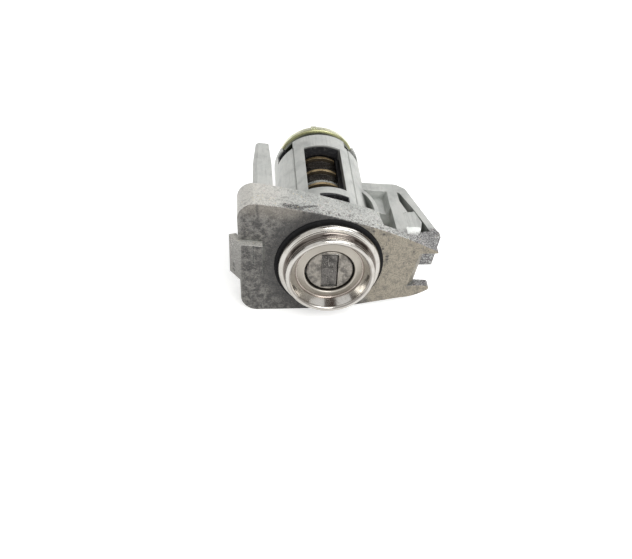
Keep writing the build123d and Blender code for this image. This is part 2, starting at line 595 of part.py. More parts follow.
def shutter_spring():
    """Torsion spring beside the flap's knuckle: one leg behind the flap, one against the slot's roof."""
    left = SHUTTER_KNUCKLE_RIGHT + 2 * SHUTTER_WIRE
    mean = SHUTTER_BACK_Y + SHUTTER_WIRE + 0.02 - SHUTTER_AXIS_Y
    right = left + SHUTTER_COIL_PITCH * SHUTTER_COIL_TURNS
    place = Plane((left, SHUTTER_AXIS_Y, SHUTTER_AXIS_Z), x_dir=(0, 1, 0), z_dir=(1, 0, 0))
    body = place * coil(mean, SHUTTER_WIRE, SHUTTER_COIL_PITCH, SHUTTER_COIL_TURNS)
    leg_y = SHUTTER_AXIS_Y + mean
    body += wire_leg((left, leg_y, SHUTTER_AXIS_Z), (0, 0, -1), SHUTTER_WIRE, 2.4)
    return body + wire_leg((right, leg_y, SHUTTER_AXIS_Z), (0, 0, 1), SHUTTER_WIRE, 0.7)


def clutch_sleeve():
    """Sleeve round the plug, with a long window at the top and at the bottom for the wafers."""
    body = rod(SLEEVE_OUTER, SLEEVE_FRONT, SLEEVE_BACK) - rod(SLEEVE_INNER, 0, FAR)
    window_x = (-SLEEVE_WINDOW_HALF_WIDTH, SLEEVE_WINDOW_HALF_WIDTH)
    window_y = (SLEEVE_WINDOW_FRONT, SLEEVE_WINDOW_BACK)
    body -= block(window_x, window_y, (4, FAR))
    return body - block(window_x, window_y, (-FAR, -4))


def wafer(y, way, bitting):
    """Wafer: round-ended plate with the key's window and a notch for its spring, at its sprung place."""
    face = Circle(WAFER_RADIUS) & Rectangle(2 * WAFER_HALF_WIDTH, FAR)
    face -= Pos(0, bitting) * Rectangle(2 * WAFER_HOLE_HALF_WIDTH, WAFER_HOLE_HEIGHT)
    notch_x = (-WAFER_HALF_WIDTH - 1 + WAFER_NOTCH_RIGHT) / 2
    notch_z = (WAFER_NOTCH_LOW + WAFER_NOTCH_HIGH) / 2
    notch = Rectangle(WAFER_NOTCH_RIGHT + WAFER_HALF_WIDTH + 1, WAFER_NOTCH_HIGH - WAFER_NOTCH_LOW)
    face -= Pos(notch_x, way * notch_z) * notch
    return slab(Pos(0, way * WAFER_LIFT) * face, y - WAFER_THICKNESS / 2, y + WAFER_THICKNESS / 2)


def wafer_spring(y, way):
    """Coil spring between the pocket's floor and the wafer's notch."""
    low = SPRING_POCKET_FLOOR + SPRING_WIRE_RADIUS + 0.02
    high = WAFER_NOTCH_HIGH + WAFER_LIFT - SPRING_WIRE_RADIUS - 0.02
    body = coil(SPRING_COIL_RADIUS, SPRING_WIRE_RADIUS, (high - low) / SPRING_TURNS, SPRING_TURNS)
    body = Pos(0, 0, low) * body
    if way < 0:
        body = Rot(180, 0, 0) * body
    return Pos(SPRING_X, y, 0) * body


def plug_clip():
    """C clip in the plug's groove, open at the bottom."""
    front, back = CLIP_GROOVE_FRONT + 0.1, CLIP_GROOVE_BACK - 0.1
    body = rod(CLIP_OUTER, front, back) - rod(CLIP_GROOVE_RADIUS + 0.03, 0, FAR)
    spread = FAR * sin(radians(CLIP_OPEN_HALF_ANGLE))
    gap = make_face(Polyline((0, 0), (-spread, -FAR), (spread, -FAR), close=True))
    return body - slab(gap, 0, FAR)


def tail_drive():
    """Hub with the tang slot, shaft through the cap, clip groove and flat blade."""
    body = rod(TAIL_HUB_RADIUS, TAIL_HUB_FRONT, TAIL_HUB_BACK)
    body += rod(TAIL_SHAFT_RADIUS, TAIL_HUB_BACK - 0.5, TAIL_SHAFT_BACK)
    slot_x = TANG_HALF_THICKNESS + TAIL_SLOT_PLAY
    slot_z = TANG_HALF_HEIGHT + 2 * TAIL_SLOT_PLAY
    body -= block((-slot_x, slot_x), (0, TAIL_SLOT_BACK), (-slot_z, slot_z))
    body -= rod(FAR / 2, TAIL_CLIP_FRONT - 0.02, TAIL_CLIP_BACK) - rod(TAIL_CLIP_GROOVE_RADIUS, 0, FAR)
    blade = block(
        (-BLADE_HALF_WIDTH, BLADE_HALF_WIDTH), (TAIL_SHAFT_BACK - 0.5, BLADE_BACK),
        (-BLADE_HALF_THICKNESS, BLADE_HALF_THICKNESS))
    tip = blade.edges().filter_by(Axis.Z).filter_by(lambda e: e.center().Y > BLADE_BACK - 0.1)
    body += chamfer(tip, 1.2)
    notch_z = RETURN_COIL_RADIUS
    return body - block((-0.6, 0.6), (TAIL_HUB_FRONT - 1, TAIL_HUB_FRONT + 1.4), (5.4, notch_z))


def rear_cap():
    """Pressed cup with a bead, a hub round the shaft's hole, holes for the studs and a nub."""
    bead_round = 0.4
    body = rod(CAP_SKIRT_RADIUS, CAP_FRONT, CAP_BACK)
    bead = rod(CAP_BEAD_RADIUS, CAP_BEAD_FRONT, CAP_BACK)
    body += fillet(bead.edges().filter_by(GeomType.CIRCLE), bead_round)
    body -= rod(CAP_SKIRT_RADIUS - CAP_RIM_WALL, 0, CAP_BACK - CAP_SHEET)
    body += rod(CAP_HUB_RADIUS, CAP_HUB_FRONT, CAP_BACK - CAP_SHEET + 0.1)
    body += block(CAP_NUB_X, (47.4, CAP_BACK - bead_round), (CAP_BEAD_RADIUS - 0.6, CAP_BEAD_RADIUS + 0.3))
    body -= rod(CAP_HOLE, 0, FAR)
    for side in (-1, 1):
        body -= rod(STUD_RADIUS + 0.05, 0, FAR, x=side * STUD_X)
    return body


def tail_clip():
    """Open clip in the shaft's groove, behind the cap."""
    body = rod(TAIL_CLIP_OUTER, TAIL_CLIP_FRONT, TAIL_CLIP_BACK - 0.05)
    body -= rod(TAIL_CLIP_GROOVE_RADIUS + 0.03, 0, FAR)
    return body - block((-TAIL_CLIP_MOUTH, TAIL_CLIP_MOUTH), (0, FAR), (-FAR, 0))


def radial_leg(start, direction, wire, length):
    """A straight wire square to a coil's end, rooted in the coil."""
    root = 0.25
    foot = tuple(place - root * way for place, way in zip(start, direction))
    return extrude(Plane(foot, z_dir=direction) * Circle(wire), amount=length + root)


def return_spring():
    """Torsion spring round the hub: one leg in the hub's notch, the other beside a lug's hook."""
    frame = Plane((0, RETURN_COIL_FRONT, 0), x_dir=(0, 0, 1), z_dir=(0, 1, 0))
    body = frame * coil(RETURN_COIL_RADIUS, RETURN_WIRE_RADIUS, RETURN_PITCH, RETURN_TURNS)
    inner_start = (0, RETURN_COIL_FRONT, RETURN_COIL_RADIUS)
    body += radial_leg(inner_start, (0, 0, -1), RETURN_WIRE_RADIUS, RETURN_INNER_LEG)
    swing = 2 * pi * RETURN_TURNS
    outward = (sin(swing), 0, cos(swing))
    back_y = RETURN_COIL_FRONT + RETURN_PITCH * RETURN_TURNS
    outer_start = (RETURN_COIL_RADIUS * outward[0], back_y, RETURN_COIL_RADIUS * outward[2])
    return body + radial_leg(outer_start, outward, RETURN_WIRE_RADIUS, RETURN_OUTER_LEG)


def all_nodes():
    """Every sub-part by its node name."""
    nodes = {
        "lock_carrier": lock_carrier(),
        "bezel_ring": bezel_ring(),
        "bezel_seal": bezel_seal(),
        "plug_face": plug_face(),
        "key_plug": key_plug(),
        "key_shutter": key_shutter(),
        "shutter_pin": shutter_pin(),
        "shutter_spring": shutter_spring(),
        "clutch_sleeve": clutch_sleeve(),
        "plug_clip": plug_clip(),
        "tail_drive": tail_drive(),
        "rear_cap": rear_cap(),
        "tail_clip": tail_clip(),
        "return_spring": return_spring(),
    }
    for number, y, way in wafer_places():
        nodes[f"wafer_{number}"] = wafer(y, way, WAFER_BITTINGS[number - 1])
        nodes[f"wafer_spring_{number}"] = wafer_spring(y, way)
    return nodes


os.makedirs("parts", exist_ok=True)
for name, solid in all_nodes().items():
    export_step(solid, f"parts/{name}.step")
    print(name, round(solid.volume, 2))
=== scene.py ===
# %% [markdown]
# # A door lock cylinder, dressed on its CAD frame
#
# The object is the lock of a vehicle door. A die-cast zinc carrier holds a black sleeve, a plug with eight
# brass wafers, a bright pressed bezel in front and a yellow passivated cap behind. The CAD model already
# holds every shape and every moving part, so this lesson is about finish: how raw castings, bright pressings
# and oiled steel look from a hand's distance.
#
# First the frame is loaded. Everything is in metres: X runs to the right, Y backwards along the lock's axis,
# Z up, and the flange's face lies at Y = 0.

# %% Load the frame
import bpy
import numpy as np
from math import degrees, pi, radians
from types import SimpleNamespace
from mathutils import Matrix, Vector

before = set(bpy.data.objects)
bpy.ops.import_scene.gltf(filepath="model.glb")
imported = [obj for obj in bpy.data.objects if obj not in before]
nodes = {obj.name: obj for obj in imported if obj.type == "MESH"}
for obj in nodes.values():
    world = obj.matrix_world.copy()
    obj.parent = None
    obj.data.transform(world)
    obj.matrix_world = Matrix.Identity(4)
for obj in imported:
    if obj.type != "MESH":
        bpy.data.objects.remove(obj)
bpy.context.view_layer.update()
MM = 0.001

# %% [markdown]
# ## Camera
#
# The photograph was taken by hand from a little above and slightly left of the lock's axis. A camera is best
# described as a photographer would: how far round, how far up, how much the hand was tilted, and the lens.
# A long lens or a parallel view would lose the strong narrowing of the barrel, so the distance stays short.

# %% Camera
LENS = 51.27
SENSOR_WIDTH = 36.0
NEAR_CLIP = 10 * MM
CAMERA_PLACE = Vector((-19.77, -173.29, 134.21)) * MM
LOOK_AZIMUTH = radians(5.54)
LOOK_DOWN = radians(38.59)
HAND_TILT = radians(2.60)


def photo_camera():
    """Camera whose turn is: tilt in the hand, then the lens raised from straight down, then swung round Z."""
    data = bpy.data.cameras.new("photo_camera")
    data.lens = LENS
    data.sensor_width = SENSOR_WIDTH
    data.clip_start = NEAR_CLIP
    camera = bpy.data.objects.new("photo_camera", data)
    bpy.context.scene.collection.objects.link(camera)
    swing = Matrix.Rotation(-LOOK_AZIMUTH, 4, "Z")
    raise_lens = Matrix.Rotation(pi / 2 - LOOK_DOWN, 4, "X")
    tilt = Matrix.Rotation(HAND_TILT, 4, "Z")
    camera.matrix_world = Matrix.Translation(CAMERA_PLACE) @ swing @ raise_lens @ tilt
    bpy.context.scene.camera = camera


photo_camera()
print("camera stands", round(CAMERA_PLACE.length / MM), "mm from the origin")

# %% [markdown]
# ## A small kit for shader trees
#
# Every finish below is a tree of nodes. A few short helpers keep those trees readable: one adds a node and
# wires its inputs, others turn a screen colour into the linear value that a shader takes, do a sum, make a
# soft step or lay one colour on another. They add no look of their own.

# %% Helpers: nodes, sums and colours
def srgb(red, green, blue):
    """Linear colour of a screen colour from 0 to 255: the inverse of the display's curve."""
    screen = np.array([red, green, blue]) / 255
    linear = np.where(screen <= 0.04045, screen / 12.92, ((screen + 0.055) / 1.055) ** 2.4)
    return (*linear.tolist(), 1.0)


def join(tree, value, socket):
    """Wires a socket to a socket, or sets any other value on it."""
    if isinstance(value, bpy.types.NodeSocket):
        tree.links.new(value, socket)
    else:
        socket.default_value = value


def add(tree, kind, inputs=None, **settings):
    """Adds a node with its settings and its inputs."""
    node = tree.nodes.new("ShaderNode" + kind)
    for name, value in settings.items():
        setattr(node, name, value)
    for name, value in (inputs or {}).items():
        join(tree, value, node.inputs[name])
    return node


def calc(tree, operation, first, second=0.0):
    """One sum on numbers, as a socket."""
    return add(tree, "Math", {0: first, 1: second}, operation=operation).outputs[0]


def times(tree, *factors):
    """Product of several masks."""
    product = factors[0]
    for factor in factors[1:]:
        product = calc(tree, "MULTIPLY", product, factor)
    return product


def from_half(tree, value, swing):
    """A noise value as a swing to both sides of zero: its distance from a half, times swing."""
    return times(tree, calc(tree, "SUBTRACT", value, 0.5), swing)


def fade(tree, value, start, end, low=0.0, high=1.0):
    """A soft step: low where value is at start, high where it is at end."""
    inputs = {"Value": value, "From Min": start, "From Max": end, "To Min": low, "To Max": high}
    return add(tree, "MapRange", inputs, interpolation_type="SMOOTHSTEP").outputs[0]


def band(tree, value, low, high, soft):
    """1 from low to high, fading to 0 within soft on either side."""
    return times(tree, fade(tree, value, low - soft, low), fade(tree, value, high + soft, high))


def tint(tree, amount, under, over):
    """Colour `under` with `over` laid on it by amount."""
    node = add(tree, "Mix", data_type="RGBA", clamp_factor=True)
    for socket, value in zip((node.inputs[0], node.inputs[6], node.inputs[7]), (amount, under, over)):
        join(tree, value, socket)
    return node.outputs[2]


print("helpers for nodes, sums and colours are ready")


# %% Helpers: noise, places and groups
FLOAT = "NodeSocketFloat"
VECTOR = "NodeSocketVector"


def noise(tree, place, scale, detail=4.0, roughness=0.55, distortion=0.0):
    """Cloudy noise between 0 and 1."""
    inputs = {"Vector": place, "Scale": scale, "Detail": detail, "Roughness": roughness}
    inputs["Distortion"] = distortion
    return add(tree, "TexNoise", inputs).outputs[0]


def streaks(tree, place, across, longer, axis):
    """Noise drawn out along one axis: its size there is `longer` times its size across."""
    scale = [across] * 3
    scale[axis] = across / longer
    drawn = add(tree, "Mapping", {"Vector": place, "Scale": scale}).outputs[0]
    return noise(tree, drawn, scale=1.0, detail=3.0, roughness=0.7, distortion=0.2)


def split(tree, vector):
    """The three numbers of a vector."""
    return add(tree, "SeparateXYZ", {0: vector}).outputs


def from_axis(tree, spot):
    """Distance from the lock's axis: the root of X squared plus Z squared."""
    squares = calc(tree, "ADD", calc(tree, "POWER", spot[0], 2.0), calc(tree, "POWER", spot[2], 2.0))
    return calc(tree, "SQRT", squares)


def new_group(name, takes, gives):
    """A node group with named inputs (float, with a start value) and outputs (kind of socket)."""
    tree = bpy.data.node_groups.new(name, "ShaderNodeTree")
    for label, value in takes.items():
        socket = tree.interface.new_socket(name=label, in_out="INPUT", socket_type=FLOAT)
        socket.default_value = value
    for label, kind in gives.items():
        tree.interface.new_socket(name=label, in_out="OUTPUT", socket_type=kind)
    return tree, tree.nodes.new("NodeGroupInput").outputs, tree.nodes.new("NodeGroupOutput").inputs


def use(tree, group, **values):
    """Places a node group in a tree; underscores in the names stand for spaces."""
    node = tree.nodes.new("ShaderNodeGroup")
    node.node_tree = group
    for name, value in values.items():
        join(tree, value, node.inputs[name.replace("_", " ")])
    return node.outputs


print("helpers for noise, places and groups are ready")

# %% [markdown]
# ## Places in millimetres
#
# All patterns here are sized in millimetres, because that is how a maker thinks of pits, scratches and tool
# marks. Object coordinates are in metres, so one group multiplies them by a thousand. It also gives the way
# a surface faces, which tells the front of the flange from its top edge.

# %% Group: place and facing
def place_group():
    """Object coordinates in millimetres, and the surface normal in the same frame."""
    tree, _, out = new_group("place_in_mm", {}, {"Place": VECTOR, "Facing": VECTOR})
    here = add(tree, "TexCoord")
    scaled = add(tree, "VectorMath", {0: here.outputs["Object"], "Scale": 1 / MM}, operation="SCALE")
    tree.links.new(scaled.outputs[0], out["Place"])
    tree.links.new(here.outputs["Normal"], out["Facing"])
    return tree


PLACE = place_group()
print("place group:", len(PLACE.nodes), "nodes")

# %% [markdown]
# ## Worn edges and painted shade in corners
#
# Handling polishes the outer edges of a part, and the finishes paint shade into its corners. The CAD mesh is
# made of loose triangles, so Blender's pointiness can't find its edges. The Bevel node can: it looks at the
# surfaces around a point, and where its rounded normal differs from the true one, an edge is near. It also
# rounds the shading of sharp edges a little, as every real edge is rounded. Ambient occlusion gives the
# corners, whose mask the finishes use as painted shade.

# %% Group: edges and corners
EDGE_SAMPLES = 6
CORNER_SAMPLES = 8
LEAN_OF_EDGE = (0.995, 0.86)
OPEN_TO_AIR = (0.55, 0.85)
SHADE_OF_CORNER = (0.8, 0.25)


def edge_group():
    """Edge = how far the rounded normal leans from the flat one, kept off hollow corners."""
    takes = {"Width": 0.25, "Corner Reach": 2.0}
    gives = {"Edge": FLOAT, "Corner": FLOAT, "Normal": VECTOR}
    tree, given, out = new_group("edges_and_corners", takes, gives)
    rounded = add(tree, "Bevel", {"Radius": times(tree, given["Width"], MM)}, samples=EDGE_SAMPLES).outputs[0]
    flat = add(tree, "NewGeometry").outputs["Normal"]
    along = add(tree, "VectorMath", {0: rounded, 1: flat}, operation="DOT_PRODUCT").outputs["Value"]
    lean = fade(tree, along, *LEAN_OF_EDGE)
    reach = times(tree, given["Corner Reach"], MM)
    shade = add(tree, "AmbientOcclusion", {"Distance": reach}, samples=CORNER_SAMPLES, only_local=True)
    outer = fade(tree, shade.outputs["AO"], *OPEN_TO_AIR)
    tree.links.new(times(tree, lean, outer), out["Edge"])
    # Corner: ambient occlusion, which the finishes paint into their colour as shade
    tree.links.new(fade(tree, shade.outputs["AO"], *SHADE_OF_CORNER), out["Corner"])
    tree.links.new(rounded, out["Normal"])
    return tree


EDGES = edge_group()
print("edge group:", len(EDGES.nodes), "nodes")

# %% [markdown]
# ## The skin of a die casting
#
# Molten zinc freezes against a steel die. The skin comes out with soft clouds where the metal froze first,
# a fine sandy grain from the worn die, dark specks no larger than a grain of salt and small pits from gas;
# a few bright grains get painted glints. Clouds, grain and specks are noise, each at its own size. Pits
# and glints are cells, of which only the middle of a few is kept.

# %% Group: cast skin
SPECK_STEP = (0.51, 0.6)
CELL_MIDDLE = (0.42, 0.18)
GLINT_SHARE = 0.1
SPECKS_PER_GRAIN = 0.9
CELLS_PER_GRAIN = 0.62
GRAIN_HEIGHT = 0.35
CLOUD_HEIGHT = 0.5
PIT_DEPTH = 0.9
SPECK_DEPTH = 0.4


def cast_skin_group():
    """Clouds, grain and specks from noise, pits and glints from cells, and the height that goes with them."""
    takes = {"Cloud Size": 7.0, "Grain Size": 0.35, "Pit Share": 0.12, "Seed": 0.0}
    gives = {name: FLOAT for name in ("Cloud", "Grain", "Speck", "Pit", "Glint", "Height")}
    tree, given, out = new_group("cast_skin", takes, gives)

    def per(size, count=1.0):
        """How many fit in a millimetre: the count divided by one of the group's sizes."""
        return calc(tree, "DIVIDE", count, given[size])

    shift = add(tree, "CombineXYZ", {0: given["Seed"], 1: given["Seed"], 2: given["Seed"]}).outputs[0]
    spot = add(tree, "VectorMath", {0: use(tree, PLACE)["Place"], 1: shift}, operation="ADD").outputs[0]
    cloud = noise(tree, spot, per("Cloud Size"), detail=6.0, roughness=0.62, distortion=0.4)
    grain = noise(tree, spot, per("Grain Size"), detail=3.0, roughness=0.6)
    speck = noise(tree, spot, per("Grain Size", SPECKS_PER_GRAIN), detail=2.0, roughness=0.85)
    speck = fade(tree, speck, *SPECK_STEP)
    cells = add(tree, "TexVoronoi", {"Vector": spot, "Scale": per("Grain Size", CELLS_PER_GRAIN)})
    middle = fade(tree, cells.outputs["Distance"], *CELL_MIDDLE)
    draw = add(tree, "SeparateColor", {0: cells.outputs["Color"]}).outputs
    pit = times(tree, middle, calc(tree, "LESS_THAN", draw[0], given["Pit Share"]))
    glint = times(tree, middle, calc(tree, "GREATER_THAN", draw[1], 1 - GLINT_SHARE))
    height = calc(tree, "ADD", times(tree, grain, GRAIN_HEIGHT), times(tree, cloud, CLOUD_HEIGHT))
    height = calc(tree, "SUBTRACT", height, times(tree, pit, PIT_DEPTH))
    height = calc(tree, "SUBTRACT", height, times(tree, speck, SPECK_DEPTH))
    for label, socket in zip(gives, (cloud, grain, speck, pit, glint, height)):
        tree.links.new(socket, out[label])
    return tree


CAST_SKIN = cast_skin_group()
print("cast skin group:", len(CAST_SKIN.nodes), "nodes")

# %% [markdown]
# ## Turned and spun surfaces
#
# The bezel, the sleeve, the plug and the cap are all round about the lock's axis, and their tools left fine
# rings. A ring pattern needs two coordinates: the radius from the axis and the place along it. Their sum
# changes on faces and on walls alike, so noise along it gives rings everywhere. A second, slow noise makes
# them waver, because no tool holds its line quite still.

# %% Group: tool rings
def ring_group():
    """Noise along radius plus depth, which a slow noise in space shifts a little."""
    takes = {"Rings per mm": 6.0, "Waver": 0.35}
    gives = {"Ring": FLOAT, "Radius": FLOAT, "Turn": FLOAT}
    tree, given, out = new_group("tool_rings", takes, gives)
    place = use(tree, PLACE)["Place"]
    spot = split(tree, place)
    radius = from_axis(tree, spot)
    waver = times(tree, noise(tree, place, scale=0.35, detail=2.0), given["Waver"])
    along = calc(tree, "ADD", calc(tree, "ADD", radius, spot[1]), waver)
    inputs = {"W": times(tree, along, given["Rings per mm"]), "Scale": 1.0, "Detail": 3.0, "Roughness": 0.7}
    rings = add(tree, "TexNoise", inputs, noise_dimensions="1D").outputs[0]
    turn = calc(tree, "ARCTAN2", spot[0], spot[2])
    for label, socket in zip(gives, (rings, radius, turn)):
        tree.links.new(socket, out[label])
    return tree


RINGS = ring_group()
print("ring group:", len(RINGS.nodes), "nodes")

# %% [markdown]
# ## How every finish begins and ends
#
# Each finish is one Principled shader with a colour, a roughness and a small bump. The start and the end
# are the same for all, so they are written once. The bump's height is given in millimetres of the real
# surface. Finishes are kept by the material slot that the record names, and are handed out further down.

# %% Start and end of every material
FINISHES = {}


def start_material(name):
    """A new material: its tree, its Principled shader and the place group's outputs."""
    material = bpy.data.materials.new(name)
    material.use_nodes = True
    tree = material.node_tree
    tree.nodes.clear()
    shader = add(tree, "BsdfPrincipled")
    output = add(tree, "OutputMaterial")
    tree.links.new(shader.outputs[0], output.inputs[0])
    return material, tree, shader, use(tree, PLACE)


def finish_surface(tree, shader, colour, rough, metal, height, depth, normal=None):
    """Wires colour, roughness, metal and a bump whose full height is depth millimetres."""
    for name, value in (("Base Color", colour), ("Roughness", rough), ("Metallic", metal)):
        join(tree, value, shader.inputs[name])
    bump = add(tree, "Bump", {"Strength": 1.0, "Distance": depth * MM, "Height": height})
    if normal is not None:
        tree.links.new(normal, bump.inputs["Normal"])
    tree.links.new(bump.outputs[0], shader.inputs["Normal"])


def keep_finish(slot, material):
    """Keeps a material for a slot of the record and prints how large its tree is."""
    FINISHES[slot] = material
    print(slot, "finish:", len(material.node_tree.nodes), "nodes")


print("finishes start with the groups", ", ".join(group.name for group in bpy.data.node_groups))

# %% [markdown]
# ## The zinc carrier
#
# One casting, but it doesn't look like one metal. The cage and the bracket came clean out of the die: pale,
# smooth, with faint lines drawn along the axis. The flange has a sandy skin full of dark specks. Its front
# has lived behind a door skin and is stained: camouflage of dark and light grey on the left, and tan on the
# right. Its darkness is partly painted shade of a face turned from the light, darkest round the seal.
#
# The values below say where each of these lies. A pair is the two ends of a soft step, in millimetres along
# the named axis: the finish is absent at the first and full at the second.

# %% Where the carrier's skins lie
FLANGE_Y = (10.0, 8.7)
FRONT_FACING = (-0.3, -0.62)
FRONT_Y = (4.5, 3.2)
FLANGE_EDGE_BEND = (2.0, 13.55)
FLANGE_SLOPE_LEFT = -0.208
FLANGE_SLOPE_RIGHT = -0.387
PALE_END_X = (-6.0, -17.0)
SAND_X = (-18.0, -4.0)
SAND_Y = (5.0, 0.0)
NOSE_X = (18.5, 21.5)
TORN_GAP = (0.9, 0.4)
SEAM_GAP = (1.3, 0.5)
SEAM_Y = (1.6, 0.8)


def below_top_edge(tree, spot):
    """How far a point lies under the flange's upper edge, which is two straight lines that meet at a bend."""
    bend_x, bend_z = FLANGE_EDGE_BEND
    past = calc(tree, "SUBTRACT", spot[0], bend_x)
    left = times(tree, calc(tree, "MINIMUM", past, 0.0), FLANGE_SLOPE_LEFT)
    right = times(tree, calc(tree, "MAXIMUM", past, 0.0), FLANGE_SLOPE_RIGHT)
    edge = calc(tree, "ADD", calc(tree, "ADD", left, right), bend_z)
    return calc(tree, "SUBTRACT", edge, spot[2])


def carrier_masks(tree, where):
    """All that the carrier's finish goes by: places, skins at two sizes, and the region a point is in."""
    at = SimpleNamespace(place=where["Place"])
    at.spot = split(tree, at.place)
    at.radius = from_axis(tree, at.spot)
    at.gap = below_top_edge(tree, at.spot)
    at.fine = use(tree, CAST_SKIN, Cloud_Size=8.0, Grain_Size=0.3, Pit_Share=0.1)
    at.coarse = use(tree, CAST_SKIN, Cloud_Size=3.2, Grain_Size=0.8, Pit_Share=0.12, Seed=31.0)
    at.edges = use(tree, EDGES, Width=0.2, Corner_Reach=2.4)
    at.drawn = streaks(tree, at.place, across=1.7, longer=14.0, axis=1)
    at.flange = fade(tree, at.spot[1], *FLANGE_Y)
    # Front mask: faces turned towards -Y, whose darker colours are partly stain and partly painted shade
    ragged_facing = calc(tree, "ADD", split(tree, where["Facing"])[1], from_half(tree, at.fine["Grain"], 0.9))
    at.front = times(tree, fade(tree, ragged_facing, *FRONT_FACING), fade(tree, at.spot[1], *FRONT_Y))
    return at


print("the flange's upper edge bends at", FLANGE_EDGE_BEND, "mm")

# %% Marks on the carrier: crease, round mark and torn skin
CREASE_X = -17.3
CREASE_LOW_Z = 9.5
CREASE_HALF_WIDTH = (0.5, 0.05)
ROUND_MARK = (-14.8, 0.0, -11.2)
ROUND_MARK_RADIUS = 0.75
ROUND_MARK_LINE = (0.3, 0.05)
ANY_HEIGHT = 1000.0
TORN_SPOT = ((-9.2, 1.1, 0.0), (2.6, 1.1, ANY_HEIGHT), 0.0)
TORN_ARM = ((-5.2, 2.3, 0.0), (2.6, 0.4, ANY_HEIGHT), radians(24))


def oval(tree, place, shape, ragged):
    """1 inside an oval: the place is moved to its centre, turned back and divided by its half sizes."""
    centre, half, turn = shape
    inputs = {"Vector": place, "Location": centre, "Rotation": (0.0, 0.0, turn), "Scale": half}
    local = add(tree, "Mapping", inputs, vector_type="TEXTURE").outputs[0]
    away = add(tree, "VectorMath", {0: local}, operation="LENGTH").outputs["Value"]
    return fade(tree, calc(tree, "ADD", away, ragged), 1.2, 0.75)


def torn_skin(tree, at):
    """Where the skin beside the upper edge is torn: two ragged ovals that stop short of the front."""
    ragged = from_half(tree, at.coarse["Grain"], 1.6)
    ovals = [oval(tree, at.place, shape, ragged) for shape in (TORN_SPOT, TORN_ARM)]
    return times(tree, calc(tree, "MAXIMUM", *ovals), fade(tree, at.gap, *TORN_GAP))


def front_marks(tree, at):
    """Crease and round mark of the flange's front: distance from a line and from a circle, made soft."""
    wobble = from_half(tree, noise(tree, at.place, scale=0.6, detail=2.0), 0.9)
    off_line = calc(tree, "SUBTRACT", calc(tree, "ADD", at.spot[0], wobble), CREASE_X)
    crease = fade(tree, calc(tree, "ABSOLUTE", off_line), *CREASE_HALF_WIDTH)
    crease = times(tree, crease, fade(tree, at.spot[2], CREASE_LOW_Z, CREASE_LOW_Z + 3))
    away = add(tree, "VectorMath", {0: at.place, 1: ROUND_MARK}, operation="DISTANCE").outputs["Value"]
    off_circle = calc(tree, "ABSOLUTE", calc(tree, "SUBTRACT", away, ROUND_MARK_RADIUS))
    return calc(tree, "MAXIMUM", crease, fade(tree, off_circle, *ROUND_MARK_LINE))


print("crease at X", CREASE_X, "mm, round mark", 2 * ROUND_MARK_RADIUS, "mm across")

# %% [markdown]
# ### The clean casting and the sandy flange
#
# Colours are laid on in the order in which they came: first the bare metal with its clouds, then the sand
# of the flange, then what tore it. A painter would glaze in the same order, and each layer needs only its
# own mask. The flange is palest at its left end and greyest at the nose.

# %% Carrier: bare metal and sand
ZINC_PALE = srgb(206, 207, 203)
ZINC_GREY = srgb(174, 176, 173)
ZINC_COOL = srgb(184, 189, 186)
SAND_DARK = srgb(106, 103, 101)
STRIP_PALE = srgb(226, 222, 214)
NOSE_GREY = srgb(104, 100, 103)
PIT_DARK = srgb(54, 52, 51)
PINK_GLINT = srgb(226, 200, 204)
GOLD_GLINT = srgb(232, 216, 172)


def bare_zinc(tree, at):
    """Pale zinc with grey and cool clouds, and grey lines drawn along the cage."""
    colour = tint(tree, fade(tree, at.fine["Cloud"], 0.42, 0.7), ZINC_PALE, ZINC_GREY)
    colour = tint(tree, fade(tree, at.coarse["Cloud"], 0.48, 0.7, high=0.4), colour, ZINC_COOL)
    cage = calc(tree, "SUBTRACT", 1.0, at.flange)
    lines = times(tree, fade(tree, at.drawn, 0.5, 0.72, high=0.6), cage)
    return tint(tree, lines, colour, ZINC_GREY)


def sandy_flange(tree, colour, at, torn):
    """The flange's rim: pale left end, dark sand, grey nose, torn patches and a few painted coloured glints.
    """
    pale_end = times(tree, at.flange, fade(tree, at.spot[0], *PALE_END_X, high=0.6))
    colour = tint(tree, pale_end, colour, STRIP_PALE)
    thick = times(tree, fade(tree, at.spot[1], *SAND_Y, low=0.6), fade(tree, at.spot[0], *SAND_X, low=0.5))
    grains = calc(tree, "MAXIMUM", at.fine["Speck"], fade(tree, at.coarse["Grain"], 0.52, 0.66))
    colour = tint(tree, times(tree, at.flange, grains, thick), colour, SAND_DARK)
    nose = times(tree, fade(tree, at.spot[0], *NOSE_X), at.flange, fade(tree, at.fine["Grain"], 0.4, 0.56))
    colour = tint(tree, nose, colour, NOSE_GREY)
    broken = fade(tree, at.fine["Grain"], 0.62, 0.42, low=0.3, high=0.95)
    colour = tint(tree, times(tree, torn, broken), colour, PIT_DARK)
    # Painted glints: a few bright grains in pink and gold
    hue = tint(tree, fade(tree, at.coarse["Cloud"], 0.46, 0.54), PINK_GLINT, GOLD_GLINT)
    return tint(tree, times(tree, at.fine["Glint"], at.flange, 0.7), colour, hue)


print("bare zinc and sand are ready")

# %% [markdown]
# ### The stained and shaded front
#
# The front's stains and painted shade are laid over the sand by one mask, which follows the way the surface
# faces: the face turned from the light is darkened as painted shade, along with its stains. Two noises,
# coarse and fine, make the camouflage. The halo of painted shade round the seal goes by the radius from the
# lock's axis, the tan begins at an X that a slow noise moves about, and the wing at the left end is lightened
# as painted light.

# %% Carrier: stains of the front
# The front's colours are darker than the zinc: stains and painted shade of a face turned from the light
# together
FRONT_LIGHT = srgb(122, 120, 116)
FRONT_DARK = srgb(52, 51, 51)
FRONT_BROWN = srgb(144, 138, 129)
# dark of the painted shade round the seal, and of the front's marks
SHADE_AND_MARK_DARK = srgb(46, 45, 46)
TAN_LIGHT = srgb(158, 150, 134)
TAN_DARK = srgb(104, 99, 92)
